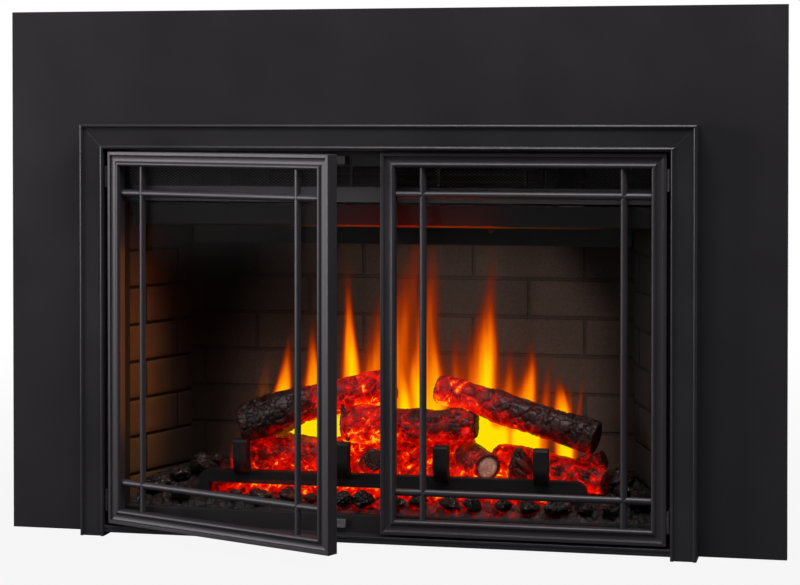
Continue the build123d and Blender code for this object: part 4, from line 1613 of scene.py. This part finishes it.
@dataclass(frozen=True)
class SoftBox(Lamp):
    """A square lamp, its size in metres and its spread in degrees."""

    size: tuple[float, float]
    colour: str
    spread: float = 180.0

    def build(self) -> bpy.types.Object:
        """Adds the lamp with its size, colour and spread."""
        shape = {"shape": "RECTANGLE", "size": self.size[0], "size_y": self.size[1]}
        return self.add("AREA", **shape, color=linear(self.colour)[:3], spread=math.radians(self.spread))


@dataclass(frozen=True)
class SoftSpot(Lamp):
    """A spot that fades to its edge, its angle in degrees and its radius in metres."""

    angle: float
    radius: float

    def build(self) -> bpy.types.Object:
        """Adds the lamp with its angle and its soft edge."""
        cone = {"spot_size": math.radians(self.angle), "spot_blend": 1.0}
        return self.add("SPOT", **cone, shadow_soft_size=self.radius)


# the two small lamps stand for the light that flames and embers throw inside the firebox
LAMPS = (
    SoftBox("key_left", (-3.4, -1.60, 0.86), (-0.2, 0.0, 0.4), 80, (1.9, 1.3), "#fff6fc"),
    SoftBox("top_front", (0.6, -1.1, 2.7), (0.2, 0.0, 0.5), 106, (2.6, 0.8), "#fffbff"),
    SoftBox(
        *("flame_glow_left_wall", (-0.325, -0.005, 0.30), (-0.412, 0.02, 0.29), 0.10),
        *((0.03, 0.30), "#ff8416"),
    ),
    SoftBox(
        *("ember_glow_baffle", (0.03, -0.002, 0.37), (0.03, 0.022, 0.505), 0.2),
        *((0.26, 0.02), "#ff0c04", 45),
    ),
    SoftSpot("wall_spot", (-0.90, -1.02, 0.72), (0.20, 0.168, 0.33), 16.0, 21.0, 0.12),
)


@dataclass
class Studio:
    """Pale floor, soft lamps and the camera at the photograph's place."""

    camera_place: tuple[float, float, float] = (0.7366, -3.2187, 0.6612)
    yaw: float = 12.49
    pitch: float = 0.964
    focal_px: float = 2152.0
    sensor_mm: float = 36.0
    picture: tuple[int, int] = (800, 585)
    middle_v: float = 149.4
    lamps: tuple[Lamp, ...] = LAMPS

    @staticmethod
    def white_for(
        tree: bpy.types.NodeTree, depth: bpy.types.NodeSocket, start: float, end: float
    ) -> tuple[bpy.types.NodeSocket, bpy.types.NodeSocket]:
        """What is seen as white: all that the eye and glass see, and in mirrors what is behind.

        Args:
            tree: the node tree.
            depth: how far back a place or direction is.
            start: the depth where "behind" starts.
            end: the depth where it is full.

        Returns:
            How far behind it is, and whether this ray sees white, each 0 to 1.
        """
        add = partial(add_node, tree)
        rays = add("LightPath").node.outputs
        behind = add("MapRange", {"Value": depth, "From Min": start, "From Max": end})
        eye = {0: rays["Is Camera Ray"], 1: rays["Is Transmission Ray"]}
        direct = add("Math", eye, operation="MAXIMUM")
        mirrored = add("Math", {0: rays["Is Glossy Ray"], 1: behind}, operation="MULTIPLY")
        return behind, add("Math", {0: direct, 1: mirrored}, operation="MAXIMUM")

    def build_world(self) -> None:
        """White behind the object, for the eye, metal and glass alike, and a dim studio in front."""
        world = bpy.data.worlds.new("studio_surround")
        bpy.context.scene.world = world
        world.use_nodes = True
        world.node_tree.nodes.clear()
        add = partial(add_node, world.node_tree)
        axes = add("SeparateXYZ", {0: add("TexCoord", out="Generated")}).node.outputs
        height = {"Value": axes["Z"], "From Min": 0.1, "From Max": 0.9}
        above = add("MapRange", height | {"To Min": 0.035, "To Max": 0.3})
        behind, seen = self.white_for(world.node_tree, axes["Y"], -0.25, 0.45)
        level = add("Math", {0: above, 1: behind}, operation="MAXIMUM")
        dim = add("Background", {"Strength": level})
        white = add("Background", {"Color": "#ffffff", "Strength": 1.0})
        add("OutputWorld", {"Surface": add("MixShader", {0: seen, 1: dim, 2: white})})

    def build_floor(self) -> bpy.types.Object:
        """A pale floor that keeps the object's shadow.

        Returns:
            The floor.
        """
        floor = added(bpy.ops.mesh.primitive_plane_add, size=60, location=(0, 0, -0.5 * MM))
        settle(floor, "studio_floor")
        made = bpy.data.materials.new("pale_floor")
        made.use_nodes = True
        made.node_tree.nodes.clear()
        add = partial(add_node, made.node_tree)
        place = add("TexCoord", out="Object")
        axes = add("SeparateXYZ", {0: place}).node.outputs
        seen = self.white_for(made.node_tree, axes["Y"], 0.2, 0.6)[1]
        far = add("VectorMath", {0: place}, out="Value", operation="LENGTH")
        distance = {"Value": far, "From Min": 0.7, "From Max": 3.0}
        clear = add("MapRange", distance | {"To Min": 0.91, "To Max": 1.0})
        share = add("Math", {0: seen, 1: clear}, operation="MULTIPLY")
        matt = add("BsdfDiffuse", {"Color": "#4c4c4c"})
        white = add("Emission", {"Color": "#ffffff", "Strength": 1.0})
        add("OutputMaterial", {"Surface": add("MixShader", {0: share, 1: matt, 2: white})})
        floor.data.materials.append(made)
        return floor

    def build_camera(self) -> bpy.types.Object:
        """The camera, worked out from the photograph's edges.

        Returns:
            The camera.
        """
        camera = added(bpy.ops.object.camera_add, location=self.camera_place)
        camera.rotation_euler = (math.radians(90 - self.pitch), 0, math.radians(self.yaw))
        wide, tall = self.picture
        camera.data.sensor_width = self.sensor_mm
        camera.data.lens = self.focal_px * self.sensor_mm / wide
        camera.data.shift_y = (self.middle_v - tall / 2) / wide
        bpy.context.scene.camera = camera
        return camera

    def build(self) -> None:
        """Builds world, floor, lamps and camera."""
        self.build_world()
        self.build_floor()
        for lamp in self.lamps:
            lamp.build()
        self.build_camera()
        bpy.context.scene.view_settings.view_transform = "Standard"


def report(part: str, objects: list[bpy.types.Object]) -> None:
    """Tells through the log what a sub-assembly made or dressed.

    Args:
        part: the sub-assembly's name.
        objects: its objects.
    """
    for obj in objects:
        LOG.info("%s: %s, %d faces", part, obj.name, len(obj.data.polygons))


def main() -> None:
    """Builds and dresses each sub-assembly in order, then the studio."""
    logging.basicConfig(level=logging.INFO, format="%(message)s")
    report("steelwork", Steelwork().dress())
    for side in Side:
        report("door", Door(side).dress())
        report("liner", BrickLiner(side).build())
    report("screen", [FlameScreen().build()])
    report("outlet", [OutletMesh().build()])
    report("logs", LogSet().build())
    report("embers", EmberBed().build())
    Studio().build()


if __name__ == "__main__":
    main()
